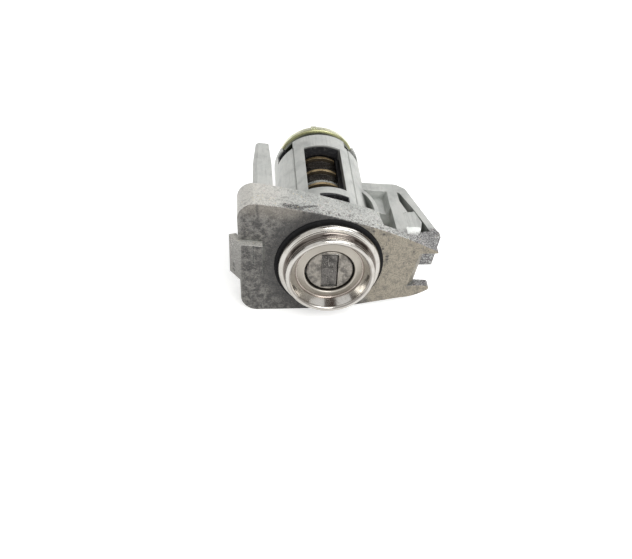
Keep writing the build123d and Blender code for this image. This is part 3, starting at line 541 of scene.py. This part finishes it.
# lighter grey of the left wing, painted light
WING_LIT_GREY = srgb(152, 150, 146)
BROWN_GAP = (5.0, 0.5)
BROWN_X = (-2.0, -9.0)
HALO_RADIUS = (18.5, 14.5)
HALO_X = (7.0, -2.0)
TAN_X = (6.0, 12.5)
TAN_WANDER = 12.0
WING_X = (-20.8, -22.0)


def front_stain_and_painted_light(tree, at):
    """Stains and painted light of the front: camouflage, brown at the top, a halo of painted shade at the
    seal, tan on the right and a lighter wing.
    """
    mottle = noise(tree, at.place, scale=0.6, detail=5.0, roughness=0.72, distortion=0.3)
    small_mottle = noise(tree, at.place, scale=1.9, detail=4.0, roughness=0.75)
    stain_and_painted_light = tint(tree, fade(tree, mottle, 0.41, 0.59), FRONT_LIGHT, FRONT_DARK)
    stain_and_painted_light = tint(tree, fade(tree, small_mottle, 0.5, 0.62, high=0.6), stain_and_painted_light, FRONT_DARK)
    stain_and_painted_light = tint(tree, fade(tree, small_mottle, 0.44, 0.36, high=0.4), stain_and_painted_light, FRONT_BROWN)
    brown = times(tree, fade(tree, at.gap, *BROWN_GAP), fade(tree, at.spot[0], *BROWN_X, high=0.65))
    stain_and_painted_light = tint(tree, brown, stain_and_painted_light, FRONT_BROWN)
    # Painted shade round the seal: darker towards it, mostly on the left
    halo = times(tree, fade(tree, at.radius, *HALO_RADIUS), fade(tree, at.spot[0], *HALO_X, high=0.8))
    stain_and_painted_light = tint(tree, halo, stain_and_painted_light, SHADE_AND_MARK_DARK)
    tan = tint(tree, fade(tree, mottle, 0.44, 0.66, high=0.7), TAN_LIGHT, TAN_DARK)
    tan = tint(tree, fade(tree, small_mottle, 0.52, 0.66, high=0.5), tan, TAN_DARK)
    wandering_x = calc(tree, "ADD", at.spot[0], from_half(tree, at.coarse["Cloud"], TAN_WANDER))
    stain_and_painted_light = tint(tree, fade(tree, wandering_x, *TAN_X), stain_and_painted_light, tan)
    # Painted light: the wing at the left end is lighter where it turns to the left and up
    stain_and_painted_light = tint(tree, fade(tree, at.spot[0], *WING_X, high=0.75), stain_and_painted_light, WING_LIT_GREY)
    stain_and_painted_light = tint(tree, times(tree, at.fine["Speck"], 0.5), stain_and_painted_light, FRONT_DARK)
    stain_and_painted_light = tint(tree, fade(tree, at.fine["Grain"], 0.43, 0.3, high=0.4), stain_and_painted_light, TAN_LIGHT)
    return tint(tree, times(tree, at.coarse["Pit"], 0.8), stain_and_painted_light, PIT_DARK)


print("front's halo fades out between radius", HALO_RADIUS[1], "and", HALO_RADIUS[0], "mm")

# %% [markdown]
# ### Wear, painted shade and the whole carrier
#
# Last come wear and painted shade. Edges are rubbed pale where hands reach them, recesses get a painted
# greenish shade, and the walls of the window and the slit in front of it are painted black as shade, up to
# just under the barrel's own skin. The bump follows the same skins as the colour, so pits are dark and deep
# at once.

# %% Carrier: wear, grease and the material
ZINC_EDGE = srgb(222, 223, 219)
# greenish painted shade for recesses
RECESS_SHADE_GREEN = srgb(108, 113, 107)
# black of the painted shade in the window and the slit
WINDOW_SHADE_BLACK = srgb(46, 46, 49)
WINDOW_RADIUS = (11.7, 11.0)
WINDOW_Y = (15.5, 16.8)
RIGHT_WALL_X = (4.9, 5.2)
SLIT_X = (-1.6, 5.7)
SLIT_Y = (7.9, 13.7)
SLIT_Z = (7.0, 8.0)
SLIT_RADIUS = (12.75, 12.35)
SLIT_SOFT = 0.1


def window_and_slit_shade(tree, at):
    """Painted shade on the window's walls, lighter on the right one, and in the slit in front of the window.
    """
    window = times(tree, fade(tree, at.radius, *WINDOW_RADIUS), fade(tree, at.spot[1], *WINDOW_Y))
    window = times(tree, window, fade(tree, at.spot[0], *RIGHT_WALL_X, low=1.0, high=0.4))
    slit = times(tree, band(tree, at.spot[0], *SLIT_X, SLIT_SOFT), band(tree, at.spot[1], *SLIT_Y, SLIT_SOFT))
    slit = times(tree, slit, fade(tree, at.spot[2], *SLIT_Z), fade(tree, at.radius, *SLIT_RADIUS))
    patchy = fade(tree, at.drawn, 0.72, 0.5, low=0.85)
    return times(tree, calc(tree, "MAXIMUM", window, slit), patchy)


def worn_edges(tree, at):
    """Rubbed edges in patches: none on the seam between rim and front, and fewer on the front itself."""
    seam = fade(tree, calc(tree, "ABSOLUTE", at.gap), *SEAM_GAP)
    seam = times(tree, seam, fade(tree, at.spot[1], *SEAM_Y))
    patchy = fade(tree, at.fine["Cloud"], 0.35, 0.6, low=0.1, high=0.7)
    worn = times(tree, at.edges["Edge"], patchy, calc(tree, "SUBTRACT", 1.0, seam))
    return times(tree, worn, fade(tree, at.front, 0.0, 1.0, low=1.0, high=0.45))


def zinc_material():
    """Pale smooth zinc, sandy on the flange, stained and partly painted with shade on its front, with painted
    shade in window and slit.
    """
    material, tree, shader, where = start_material("cast_zinc")
    at = carrier_masks(tree, where)
    torn = torn_skin(tree, at)
    marks = times(tree, front_marks(tree, at), at.front)
    colour = sandy_flange(tree, bare_zinc(tree, at), at, torn)
    # The crease is painted as a line of shade, and the round mark is drawn in the same dark
    stain_and_painted_light = tint(tree, times(tree, marks, 0.6), front_stain_and_painted_light(tree, at), SHADE_AND_MARK_DARK)
    # Lays the front's stains and painted shade onto the faces turned towards -Y
    colour = tint(tree, times(tree, at.front, 0.96), colour, stain_and_painted_light)
    colour = tint(tree, worn_edges(tree, at), colour, ZINC_EDGE)
    # Painted shade in recesses, from ambient occlusion
    colour = tint(tree, times(tree, at.edges["Corner"], 0.62), colour, RECESS_SHADE_GREEN)
    # Painted shade: the walls of the window and the slit go black
    colour = tint(tree, window_and_slit_shade(tree, at), colour, WINDOW_SHADE_BLACK)
    rough = fade(tree, at.fine["Grain"], 0.3, 0.7, low=0.42, high=0.58)
    metal = fade(tree, at.front, 0.0, 1.0, low=0.5, high=0.3)
    height = calc(tree, "ADD", at.fine["Height"], times(tree, at.coarse["Height"], 0.6))
    height = times(tree, height, fade(tree, at.flange, 0.0, 1.0, low=0.45))
    height = calc(tree, "SUBTRACT", height, times(tree, calc(tree, "MAXIMUM", marks, torn), 0.8))
    finish_surface(tree, shader, colour, rough, metal, height, depth=0.06, normal=at.edges["Normal"])
    return material


keep_finish("zinc", zinc_material())

# %% [markdown]
# ## The bright bezel and its rubber ring
#
# The bezel is pressed steel with a bright nickel skin, a little cream in colour. Most of its look is what it
# mirrors, so its material stays simple: fine rings from polishing, and a haze of fingerprints that only
# changes the roughness. The rest lies by radius: the ledge round the plug is satin, because keys rub it, the
# dish is brown at its foot, the groove behind the lip carries a painted dark reflection, and a weaker line of
# painted shade runs along the lip's crest; corners get painted shade as well. The rubber ring under the bezel
# is matt and nearly black.

# %% Material: bezel
NICKEL = srgb(190, 187, 182)
NICKEL_WORN = srgb(168, 163, 154)
LEDGE_SATIN = srgb(160, 154, 144)
# brown of the painted dark reflection and painted shade, and of dust
PAINTED_DARK_AND_DUST_BROWN = srgb(72, 61, 54)
DISH_BROWN = srgb(112, 88, 74)
LEDGE_RADIUS = 8.0
GROOVE_RADII = (10.55, 11.35)
GROOVE_Y = (-3.75, -2.3)
CREST_RADII = (9.7, 9.95)
CREST_Y = (-4.4, -4.8)


def bezel_painted_dark(tree, radius, depth):
    """A painted dark reflection in the groove behind the lip, and a weaker line of painted shade on the lip's
    crest.
    """
    groove = times(tree, band(tree, radius, *GROOVE_RADII, 0.15), band(tree, depth, *GROOVE_Y, 0.12))
    crest = times(tree, band(tree, radius, *CREST_RADII, 0.12), fade(tree, depth, *CREST_Y))
    return calc(tree, "MAXIMUM", groove, times(tree, crest, 0.6))


def nickel_material():
    """Bright nickel: cream metal, fine rings in the bump, haze, a satin ledge and a painted dark reflection
    in the groove.
    """
    material, tree, shader, where = start_material("bright_nickel")
    place = where["Place"]
    depth = split(tree, place)[1]
    rings = use(tree, RINGS, Rings_per_mm=9.0, Waver=0.1)
    radius = rings["Radius"]
    edges = use(tree, EDGES, Width=0.12, Corner_Reach=1.2)
    haze = noise(tree, place, scale=0.32, detail=5.0, roughness=0.65, distortion=0.6)
    dust = noise(tree, place, scale=3.1, detail=3.0, roughness=0.7)
    ledge = fade(tree, radius, LEDGE_RADIUS + 0.15, LEDGE_RADIUS - 0.15)
    dish_foot = band(tree, radius, LEDGE_RADIUS + 0.1, LEDGE_RADIUS + 0.4, 0.12)
    painted_dark = times(tree, bezel_painted_dark(tree, radius, depth), fade(tree, haze, 0.3, 0.6, low=0.95, high=0.75))
    colour = tint(tree, fade(tree, haze, 0.42, 0.7, high=0.7), NICKEL, NICKEL_WORN)
    colour = tint(tree, times(tree, ledge, 0.8), colour, LEDGE_SATIN)
    # Painted dark reflection in the groove and painted shade along the crest
    colour = tint(tree, painted_dark, colour, PAINTED_DARK_AND_DUST_BROWN)
    colour = tint(tree, times(tree, dish_foot, 0.5), colour, DISH_BROWN)
    # Painted shade in the corners
    colour = tint(tree, times(tree, edges["Corner"], 0.5), colour, PAINTED_DARK_AND_DUST_BROWN)
    # Dust, in the same brown
    colour = tint(tree, fade(tree, dust, 0.64, 0.78, high=0.5), colour, PAINTED_DARK_AND_DUST_BROWN)
    rough = fade(tree, haze, 0.35, 0.7, low=0.1, high=0.2)
    rough = calc(tree, "ADD", rough, fade(tree, rings["Ring"], 0.4, 0.75, high=0.06))
    rough = calc(tree, "MAXIMUM", rough, times(tree, ledge, 0.34))
    finish_surface(tree, shader, colour, rough, 1.0, rings["Ring"], depth=0.002, normal=edges["Normal"])
    return material


keep_finish("bezel", nickel_material())

# %% Material: rubber ring
RUBBER = srgb(13, 13, 15)
RUBBER_DUST = srgb(62, 61, 60)
RUBBER_GLOSS = 0.2


def rubber_material():
    """Black rubber with a fine grain and a little pale dust in patches."""
    material, tree, shader, where = start_material("black_rubber")
    place = where["Place"]
    grain = noise(tree, place, scale=5.0, detail=4.0, roughness=0.7)
    dust = noise(tree, place, scale=0.5, detail=4.0, roughness=0.6)
    colour = tint(tree, fade(tree, dust, 0.55, 0.76, high=0.25), RUBBER, RUBBER_DUST)
    rough = fade(tree, grain, 0.3, 0.7, low=0.6, high=0.85)
    shader.inputs["Specular IOR Level"].default_value = RUBBER_GLOSS
    finish_surface(tree, shader, colour, rough, metal=0.0, height=grain, depth=0.03)
    return material


keep_finish("seal", rubber_material())

# %% [markdown]
# ## Plug face and dust shutter
#
# The plug's face is a thin steel cap that every key has rubbed on its way to the slot. It is grey-tan with
# old stain, and its scratches run mostly up and down, as a key is set in. The shutter behind the slot is
# greyer, and scored down its length. Noise stretched along Z makes such scratches.

# %% Materials: plug face and shutter
FACE_TAN = srgb(148, 143, 135)
FACE_GREY = srgb(94, 91, 87)
# stain of the plug face, also its painted shade in corners
FACE_STAIN_AND_SHADE = srgb(78, 71, 65)
SHUTTER_GREY = srgb(102, 99, 96)
SHUTTER_DARK = srgb(66, 64, 62)
# stain of the shutter, also its painted shade in corners
SHUTTER_STAIN_AND_SHADE = srgb(48, 46, 45)
SCRATCH_PALE = srgb(202, 197, 188)
FACE_ROUGH = (0.35, 0.55)
SHUTTER_ROUGH = (0.4, 0.6)


def worn_steel_material(name, colours, rough_range):
    """Steel rubbed by keys: stain clouds, streaks along the slot, pale edges and painted shade in the
    corners.
    """
    main, other, stain_and_shade = colours
    material, tree, shader, where = start_material(name)
    edges = use(tree, EDGES, Width=0.15, Corner_Reach=0.9)
    skin = use(tree, CAST_SKIN, Cloud_Size=2.4, Grain_Size=0.28, Pit_Share=0.1, Seed=12.0)
    rubbed = streaks(tree, where["Place"], across=4.5, longer=12.0, axis=2)
    colour = tint(tree, fade(tree, skin["Cloud"], 0.4, 0.62), main, other)
    colour = tint(tree, fade(tree, rubbed, 0.52, 0.7, high=0.6), colour, stain_and_shade)
    colour = tint(tree, fade(tree, rubbed, 0.42, 0.26, high=0.6), colour, SCRATCH_PALE)
    colour = tint(tree, times(tree, skin["Speck"], 0.35), colour, stain_and_shade)
    colour = tint(tree, fade(tree, skin["Grain"], 0.44, 0.3, high=0.4), colour, SCRATCH_PALE)
    colour = tint(tree, times(tree, edges["Edge"], 0.25), colour, SCRATCH_PALE)
    # Painted shade in the corners, in the stain colour
    colour = tint(tree, times(tree, edges["Corner"], 0.75), colour, stain_and_shade)
    rough = fade(tree, skin["Cloud"], 0.3, 0.7, *rough_range)
    height = calc(tree, "ADD", rubbed, times(tree, skin["Height"], 0.6))
    finish_surface(tree, shader, colour, rough, 0.7, height, depth=0.025, normal=edges["Normal"])
    return material


face_colours = (FACE_TAN, FACE_GREY, FACE_STAIN_AND_SHADE)
shutter_colours = (SHUTTER_GREY, SHUTTER_DARK, SHUTTER_STAIN_AND_SHADE)
keep_finish("face", worn_steel_material("plug_face_steel", face_colours, FACE_ROUGH))
keep_finish("shutter", worn_steel_material("shutter_steel", shutter_colours, SHUTTER_ROUGH))

# %% [markdown]
# ## Inside the cage: sleeve and plug
#
# The sleeve is steel with a black oxide skin and a film of oil. The plug is zinc like the carrier, but its
# lands are darkened nearly black, its corners get painted shade, and only a thin rim behind the two front
# wafers of the upper window is bright, in short dashes that are partly rubbed and partly painted glints. The
# remainder of the depth by the wafers' pitch finds both rims at once.

# %% Material: black oxide of the sleeve
OXIDE = srgb(34, 33, 34)
OXIDE_RUBBED = srgb(92, 94, 98)
OXIDE_RUST = srgb(66, 52, 42)


def oxide_material():
    """Black oxide with rubbed edges, thin rings, bluish oil streaks and a trace of rust."""
    material, tree, shader, where = start_material("black_oxide")
    place = where["Place"]
    rings = use(tree, RINGS, Rings_per_mm=4.0, Waver=0.3)
    edges = use(tree, EDGES, Width=0.18, Corner_Reach=1.5)
    cloud = noise(tree, place, scale=0.4, detail=5.0, roughness=0.6)
    oil = streaks(tree, place, across=1.6, longer=10.0, axis=1)
    colour = tint(tree, fade(tree, cloud, 0.5, 0.75, high=0.5), OXIDE, OXIDE_RUST)
    colour = tint(tree, fade(tree, oil, 0.5, 0.68, high=0.7), colour, OXIDE_RUBBED)
    colour = tint(tree, times(tree, edges["Edge"], 0.7), colour, OXIDE_RUBBED)
    rough = fade(tree, cloud, 0.3, 0.7, low=0.3, high=0.5)
    finish_surface(tree, shader, colour, rough, 0.5, rings["Ring"], depth=0.008, normal=edges["Normal"])
    return material


keep_finish("sleeve", oxide_material())

# %% Material: greasy zinc of the plug
PLUG_ZINC = srgb(176, 178, 173)
PLUG_DULL = srgb(112, 111, 105)
# dark of the plug's lands, of dark grains, and of painted shade in corners
PLUG_DARK_AND_SHADE = srgb(50, 46, 42)
# bright of rubbed edges and of painted glints on the rims
RIM_WEAR_AND_GLINT = srgb(206, 208, 203)
SPRUNG_PITCH = 6.4
FRONT_SPRUNG_Y = 18.15
RIM_BEHIND_WAFER = (1.7, 3.2)
RIM_AREA_Y = (30.0, 29.0)
DASHES_PER_RADIAN = 16.0
# where the plug's lands are darkened, along the axis
DARK_FRONT_Y = (9.0, 10.0)
DARK_BACK_Y = (42.5, 41.5)


def plug_material():
    """Zinc, darkened between the wafers, with dashes of rubbed rim and painted glints that repeat at the
    pitch of the wafers.
    """
    material, tree, shader, where = start_material("plug_zinc")
    depth = split(tree, where["Place"])[1]
    rings = use(tree, RINGS, Rings_per_mm=5.0, Waver=0.4)
    edges = use(tree, EDGES, Width=0.16, Corner_Reach=1.6)
    skin = use(tree, CAST_SKIN, Cloud_Size=4.0, Grain_Size=0.25, Pit_Share=0.1, Seed=57.0)
    behind = calc(tree, "MODULO", calc(tree, "SUBTRACT", depth, FRONT_SPRUNG_Y), SPRUNG_PITCH)
    around = times(tree, rings["Turn"], DASHES_PER_RADIAN)
    along_rim = add(tree, "CombineXYZ", {0: around, 1: behind}).outputs[0]
    dashes = fade(tree, noise(tree, along_rim, scale=1.0, detail=2.0, roughness=0.6), 0.4, 0.5)
    rim = times(tree, band(tree, behind, *RIM_BEHIND_WAFER, 0.1), fade(tree, depth, *RIM_AREA_Y))
    # The lands between these depths are darkened
    dark_lands = times(tree, fade(tree, depth, *DARK_FRONT_Y), fade(tree, depth, *DARK_BACK_Y))
    dark_lands = times(tree, dark_lands, fade(tree, skin["Cloud"], 0.2, 0.5, low=0.85, high=0.97))
    colour = tint(tree, fade(tree, skin["Cloud"], 0.35, 0.65), PLUG_DULL, PLUG_ZINC)
    colour = tint(tree, times(tree, edges["Edge"], 0.4), colour, RIM_WEAR_AND_GLINT)
    # Painted shade in the corners
    colour = tint(tree, times(tree, edges["Corner"], 0.85), colour, PLUG_DARK_AND_SHADE)
    colour = tint(tree, dark_lands, colour, PLUG_DARK_AND_SHADE)
    # Dashes along the rims: partly rubbed metal, partly painted glints
    colour = tint(tree, times(tree, rim, dashes), colour, RIM_WEAR_AND_GLINT)
    rough = fade(tree, dashes, 0.0, 1.0, low=0.55, high=0.25)
    height = calc(tree, "ADD", rings["Ring"], times(tree, dashes, rim))
    finish_surface(tree, shader, colour, rough, 0.6, height, depth=0.03, normal=edges["Normal"])
    return material


keep_finish("plug_zinc", plug_material())

# %% [markdown]
# ## Wafers, springs and clips
#
# The wafers are stamped brass, dull and grainy. Only their round edges rub against the sleeve and stay
# bright, while their flat sides are darkened, so the way a point faces tells the two apart. Their corners get
# painted shade.
# Springs and clips are drawn steel wire and strip, with lines too fine to see one by one.

# %% Materials: brass and spring steel
BRASS = srgb(204, 180, 138)
BRASS_DULL = srgb(138, 116, 82)
BRASS_BRIGHT = srgb(224, 208, 172)
WIRE_STEEL = srgb(196, 196, 194)
WIRE_DULL = srgb(132, 130, 126)


def brass_material():
    """Stamped brass: dull clouds, pale rubbed grains, darkened flat sides and painted shade in the corners.
    """
    material, tree, shader, where = start_material("wafer_brass")
    place = where["Place"]
    edges = use(tree, EDGES, Width=0.14, Corner_Reach=1.0)
    cloud = noise(tree, place, scale=0.7, detail=5.0, roughness=0.65)
    grain = noise(tree, place, scale=3.2, detail=3.0, roughness=0.75)
    flat_side = calc(tree, "ABSOLUTE", split(tree, where["Facing"])[1])
    colour = tint(tree, fade(tree, cloud, 0.4, 0.66), BRASS, BRASS_DULL)
    colour = tint(tree, fade(tree, grain, 0.52, 0.66, high=0.6), colour, PLUG_DARK_AND_SHADE)
    colour = tint(tree, fade(tree, grain, 0.46, 0.34, high=0.6), colour, BRASS_BRIGHT)
    colour = tint(tree, times(tree, edges["Edge"], 0.3), colour, BRASS_BRIGHT)
    # The flat sides, facing along the axis, are darkened
    colour = tint(tree, fade(tree, flat_side, 0.5, 0.85, high=0.85), colour, PLUG_DARK_AND_SHADE)
    # Painted shade in the corners
    colour = tint(tree, times(tree, edges["Corner"], 0.7), colour, PLUG_DARK_AND_SHADE)
    rough = fade(tree, grain, 0.3, 0.7, low=0.3, high=0.5)
    finish_surface(tree, shader, colour, rough, 0.75, grain, depth=0.03, normal=edges["Normal"])
    return material


def wire_material():
    """Drawn spring steel: bright with a cloudy temper and fine draw lines."""
    material, tree, shader, where = start_material("spring_steel")
    place = where["Place"]
    cloud = noise(tree, place, scale=1.1, detail=4.0, roughness=0.6)
    lines = noise(tree, place, scale=7.0, detail=2.0, roughness=0.6)
    colour = tint(tree, fade(tree, cloud, 0.4, 0.66), WIRE_STEEL, WIRE_DULL)
    rough = fade(tree, lines, 0.3, 0.7, low=0.22, high=0.38)
    finish_surface(tree, shader, colour, rough, metal=1.0, height=lines, depth=0.004)
    return material


keep_finish("wafer", brass_material())
keep_finish("spring_steel", wire_material())

# %% [markdown]
# ## The yellow passivated cap
#
# Zinc plate dipped in chromate turns yellow, with pink and green shifts as on oil. The film is thin, so the
# metal under it still shines. It is pale where the bead stands out, and painted shade makes it olive below
# the bead and nearly black where the skirt meets the barrel.

# %% Material: yellow passivation
PASS_PALE = srgb(244, 244, 220)
PASS_GREEN = srgb(206, 212, 176)
PASS_PINK = srgb(226, 206, 186)
# olive of the film's blotches, and of the painted shade below the bead
PASS_OLIVE_AND_SHADE = srgb(150, 150, 108)
# dark of the painted shade on the skirt and in the corners
PASS_SHADE_DARK = srgb(52, 58, 50)
BEAD_FRONT_Y = 46.9
SKIRT_FRONT_Y = 44.9


def passivated_material():
    """Chromate film: pale bead, painted shade in olive and then dark on the skirt, and a drift of hue in
    broad clouds.
    """
    material, tree, shader, where = start_material("yellow_passivated")
    place = where["Place"]
    depth = split(tree, place)[1]
    edges = use(tree, EDGES, Width=0.2, Corner_Reach=1.6)
    rings = use(tree, RINGS, Rings_per_mm=3.0, Waver=0.6)
    drift = noise(tree, place, scale=0.22, detail=3.0, roughness=0.5, distortion=0.8)
    blotch = noise(tree, place, scale=0.9, detail=4.0, roughness=0.6)
    colour = tint(tree, fade(tree, drift, 0.35, 0.55), PASS_GREEN, PASS_PALE)
    colour = tint(tree, fade(tree, drift, 0.56, 0.7, high=0.7), colour, PASS_PINK)
    colour = tint(tree, fade(tree, blotch, 0.56, 0.72, high=0.5), colour, PASS_OLIVE_AND_SHADE)
    # Painted shade on the skirt: olive below the bead, then dark towards the barrel
    colour = tint(tree, fade(tree, depth, BEAD_FRONT_Y + 0.9, BEAD_FRONT_Y, high=0.9), colour, PASS_OLIVE_AND_SHADE)
    colour = tint(tree, fade(tree, depth, BEAD_FRONT_Y, SKIRT_FRONT_Y + 0.8, high=0.95), colour, PASS_SHADE_DARK)
    # Painted shade in the corners
    colour = tint(tree, times(tree, edges["Corner"], 0.6), colour, PASS_SHADE_DARK)
    rough = fade(tree, blotch, 0.3, 0.7, low=0.25, high=0.4)
    finish_surface(tree, shader, colour, rough, 0.8, rings["Ring"], depth=0.006, normal=edges["Normal"])
    return material


keep_finish("cap", passivated_material())

# %% [markdown]
# ## Dress the CAD nodes
#
# Each node comes with a material named for its slot in the record, so the finishes are handed out by slot,
# and no list of pieces has to be kept here.

# %% Hand out the finishes
for piece in nodes.values():
    slot = piece.material_slots[0].material.name.split(".")[0]
    piece.material_slots[0].material = FINISHES[slot]
print("dressed", len(nodes), "nodes with", len(FINISHES), "finishes")

# %% [markdown]
# ## Floor and light
#
# The lock lies on a white board. Its flange is taller than its cap, so it leans back a little, and the
# board is laid under it at that slope: through the skirt's lower edge and the lowest point behind it. The
# board is white to the camera and still takes the lock's shadow, because only part of its light is its own.

# %% White board under the lock
BOARD_HALF = 1.5
BOARD_LIFT = 0.5
BOARD_WHITE = srgb(238, 238, 238)
BOARD_GRAIN = srgb(228, 228, 226)
EDGE_DEPTH = 0.02 * MM
BEHIND_EDGE = 5 * MM


def vertices_of(piece):
    """All vertices of a mesh as one array."""
    flat = np.empty(len(piece.data.vertices) * 3)
    piece.data.vertices.foreach_get("co", flat)
    return flat.reshape(-1, 3)


def resting_line():
    """Lowest edge in front, and the flattest slope back from it that stays under every vertex."""
    cloud = np.concatenate([vertices_of(piece) for piece in nodes.values()])
    low = cloud[:, 2].min()
    edge = cloud[cloud[:, 2] < low + EDGE_DEPTH][:, 1].max()
    behind = cloud[cloud[:, 1] > edge + BEHIND_EDGE]
    slope = ((behind[:, 2] - low) / (behind[:, 1] - edge)).min()
    return low, edge, slope


def stage_sheet(name, places, faces, material):
    """A staged mesh from an array of places and its faces."""
    mesh = bpy.data.meshes.new(name)
    mesh.from_pydata(places, [], faces)
    mesh.materials.append(material)
    sheet = bpy.data.objects.new(name, mesh)
    bpy.context.scene.collection.objects.link(sheet)
    return sheet


def seen_directly(tree):
    """1 for rays from the camera, and for rays that come by a mirror or through glass."""
    path = add(tree, "LightPath").outputs
    seen = calc(tree, "MAXIMUM", path["Is Camera Ray"], path["Is Glossy Ray"])
    return calc(tree, "MAXIMUM", seen, path["Is Transmission Ray"])


def empty_tree(data_block):
    """The data block's own node tree, cleared."""
    data_block.use_nodes = True
    data_block.node_tree.nodes.clear()
    return data_block.node_tree


def board_material():
    """White board: white to the eye and to mirrors, a plain pale board to the light, clear from below."""
    material = bpy.data.materials.new("white_board")
    tree = empty_tree(material)
    grain = noise(tree, add(tree, "TexCoord").outputs["Object"], scale=40.0, detail=3.0)
    white = tint(tree, fade(tree, grain, 0.3, 0.7), BOARD_WHITE, BOARD_GRAIN)
    paper = add(tree, "BsdfDiffuse", {"Color": white}).outputs[0]
    lift = add(tree, "Emission", {"Strength": times(tree, seen_directly(tree), BOARD_LIFT)}).outputs[0]
    lit = add(tree, "AddShader", {0: paper, 1: lift}).outputs[0]
    below = add(tree, "NewGeometry").outputs["Backfacing"]
    clear = add(tree, "BsdfTransparent").outputs[0]
    both = add(tree, "MixShader", {0: below, 1: lit, 2: clear}).outputs[0]
    add(tree, "OutputMaterial", {0: both})
    return material


def lay_board():
    """The board as one square: its height grows with Y by the slope from the resting edge."""
    low, edge, slope = resting_line()
    square = ((-1, -1), (1, -1), (1, 1), (-1, 1))
    corners = [(x * BOARD_HALF, y * BOARD_HALF, low + slope * (y * BOARD_HALF - edge)) for x, y in square]
    stage_sheet("white_board", corners, [(0, 1, 2, 3)], board_material())
    return slope


print("board slope", round(degrees(np.arctan(lay_board())), 2), "degrees")

# %% [markdown]
# ## Lamps and room
#
# The light is one broad lamp over the photographer's right shoulder and a weaker one from behind on the
# right, with the room as a soft fill. Broad lamps give soft shadows.

# %% Lamps and room
AIM = Vector((2, 14, 0)) * MM
LAMPS = {
    "shoulder_lamp": {"place": Vector((130, -330, 350)) * MM, "size": 330 * MM, "power": 1.8},
    "back_lamp": {"place": Vector((230, 190, 380)) * MM, "size": 360 * MM, "power": 0.8},
}
ROOM_WHITE = (1.0, 1.0, 1.0, 1.0)
ROOM_LEVEL = 0.45


def soft_lamp(name, place, size, power):
    """A square soft lamp that looks at the lock."""
    data = bpy.data.lights.new(name, "AREA")
    data.shape = "SQUARE"
    data.size = size
    data.energy = power
    lamp = bpy.data.objects.new(name, data)
    bpy.context.scene.collection.objects.link(lamp)
    lamp.location = place
    lamp.rotation_euler = (AIM - place).to_track_quat("-Z", "Y").to_euler()


def white_room():
    """World that is white to the eye, to mirrors and through glass, and a plain soft fill to the rest."""
    world = bpy.data.worlds.new("white_room")
    tree = empty_tree(world)
    level = fade(tree, seen_directly(tree), 0.0, 1.0, low=ROOM_LEVEL)
    sky = add(tree, "Background", {"Color": ROOM_WHITE, "Strength": level}).outputs[0]
    add(tree, "OutputWorld", {0: sky})
    bpy.context.scene.world = world


for name, settings in LAMPS.items():
    soft_lamp(name, **settings)
white_room()
bpy.context.scene.view_settings.view_transform = "Standard"
print("lamps:", ", ".join(LAMPS))

# %% [markdown]
# ## Cards for the bright metal
#
# A mirror in a white room looks white and flat. Product photographers hang dark cards outside the picture,
# and their reflections draw the shape of the metal. Each card here is a piece of a ball round the lock,
# given by how far it turns from the front and how high it rises. Neither the camera nor diffuse light sees
# the cards and they throw no shadow, so they change only what the metal mirrors.

# %% Dark cards
CARD_DISTANCE = 420 * MM
CARD_COLUMNS = 25
CARD_ROWS = 9
CARDS = {
    "ceiling_card": {"turns": (-180, 180), "rises": (71, 89.9), "tone": srgb(84, 72, 66)},
    "back_card": {"turns": (130, 230), "rises": (20, 56), "tone": srgb(146, 144, 142)},
    "left_card": {"turns": (-120, -70), "rises": (2, 36), "tone": srgb(96, 90, 86)},
    "right_card": {"turns": (70, 120), "rises": (2, 36), "tone": srgb(120, 112, 106)},
}


def ball_grid(turns, rises):
    """Grid of places on a ball: turn round Z from the front, rise from the floor, both in degrees."""
    across = np.radians(np.linspace(*turns, CARD_COLUMNS))
    up = np.radians(np.linspace(*rises, CARD_ROWS))
    turn, rise = np.meshgrid(across, up)
    unit = np.stack([np.sin(turn) * np.cos(rise), -np.cos(turn) * np.cos(rise), np.sin(rise)], axis=-1)
    return CARD_DISTANCE * unit.reshape(-1, 3)


def grid_faces(rows, columns):
    """Four corners of every cell of a grid, in order round the cell."""
    corner = (np.arange(rows - 1)[:, None] * columns + np.arange(columns - 1)).ravel()
    return np.stack([corner, corner + columns, corner + columns + 1, corner + 1], axis=1)


def card(name, turns, rises, tone):
    """One card: a glowing piece of the ball that only glossy rays can meet."""
    material = bpy.data.materials.new(name)
    tree = empty_tree(material)
    glow = add(tree, "Emission", {"Color": tone}).outputs[0]
    add(tree, "OutputMaterial", {0: glow})
    faces = grid_faces(CARD_ROWS, CARD_COLUMNS)
    sheet = stage_sheet(name, ball_grid(turns, rises).tolist(), faces.tolist(), material)
    sheet.visible_camera = False
    sheet.visible_diffuse = False
    sheet.visible_shadow = False


for name, settings in CARDS.items():
    card(name, **settings)
print("cards:", ", ".join(CARDS))
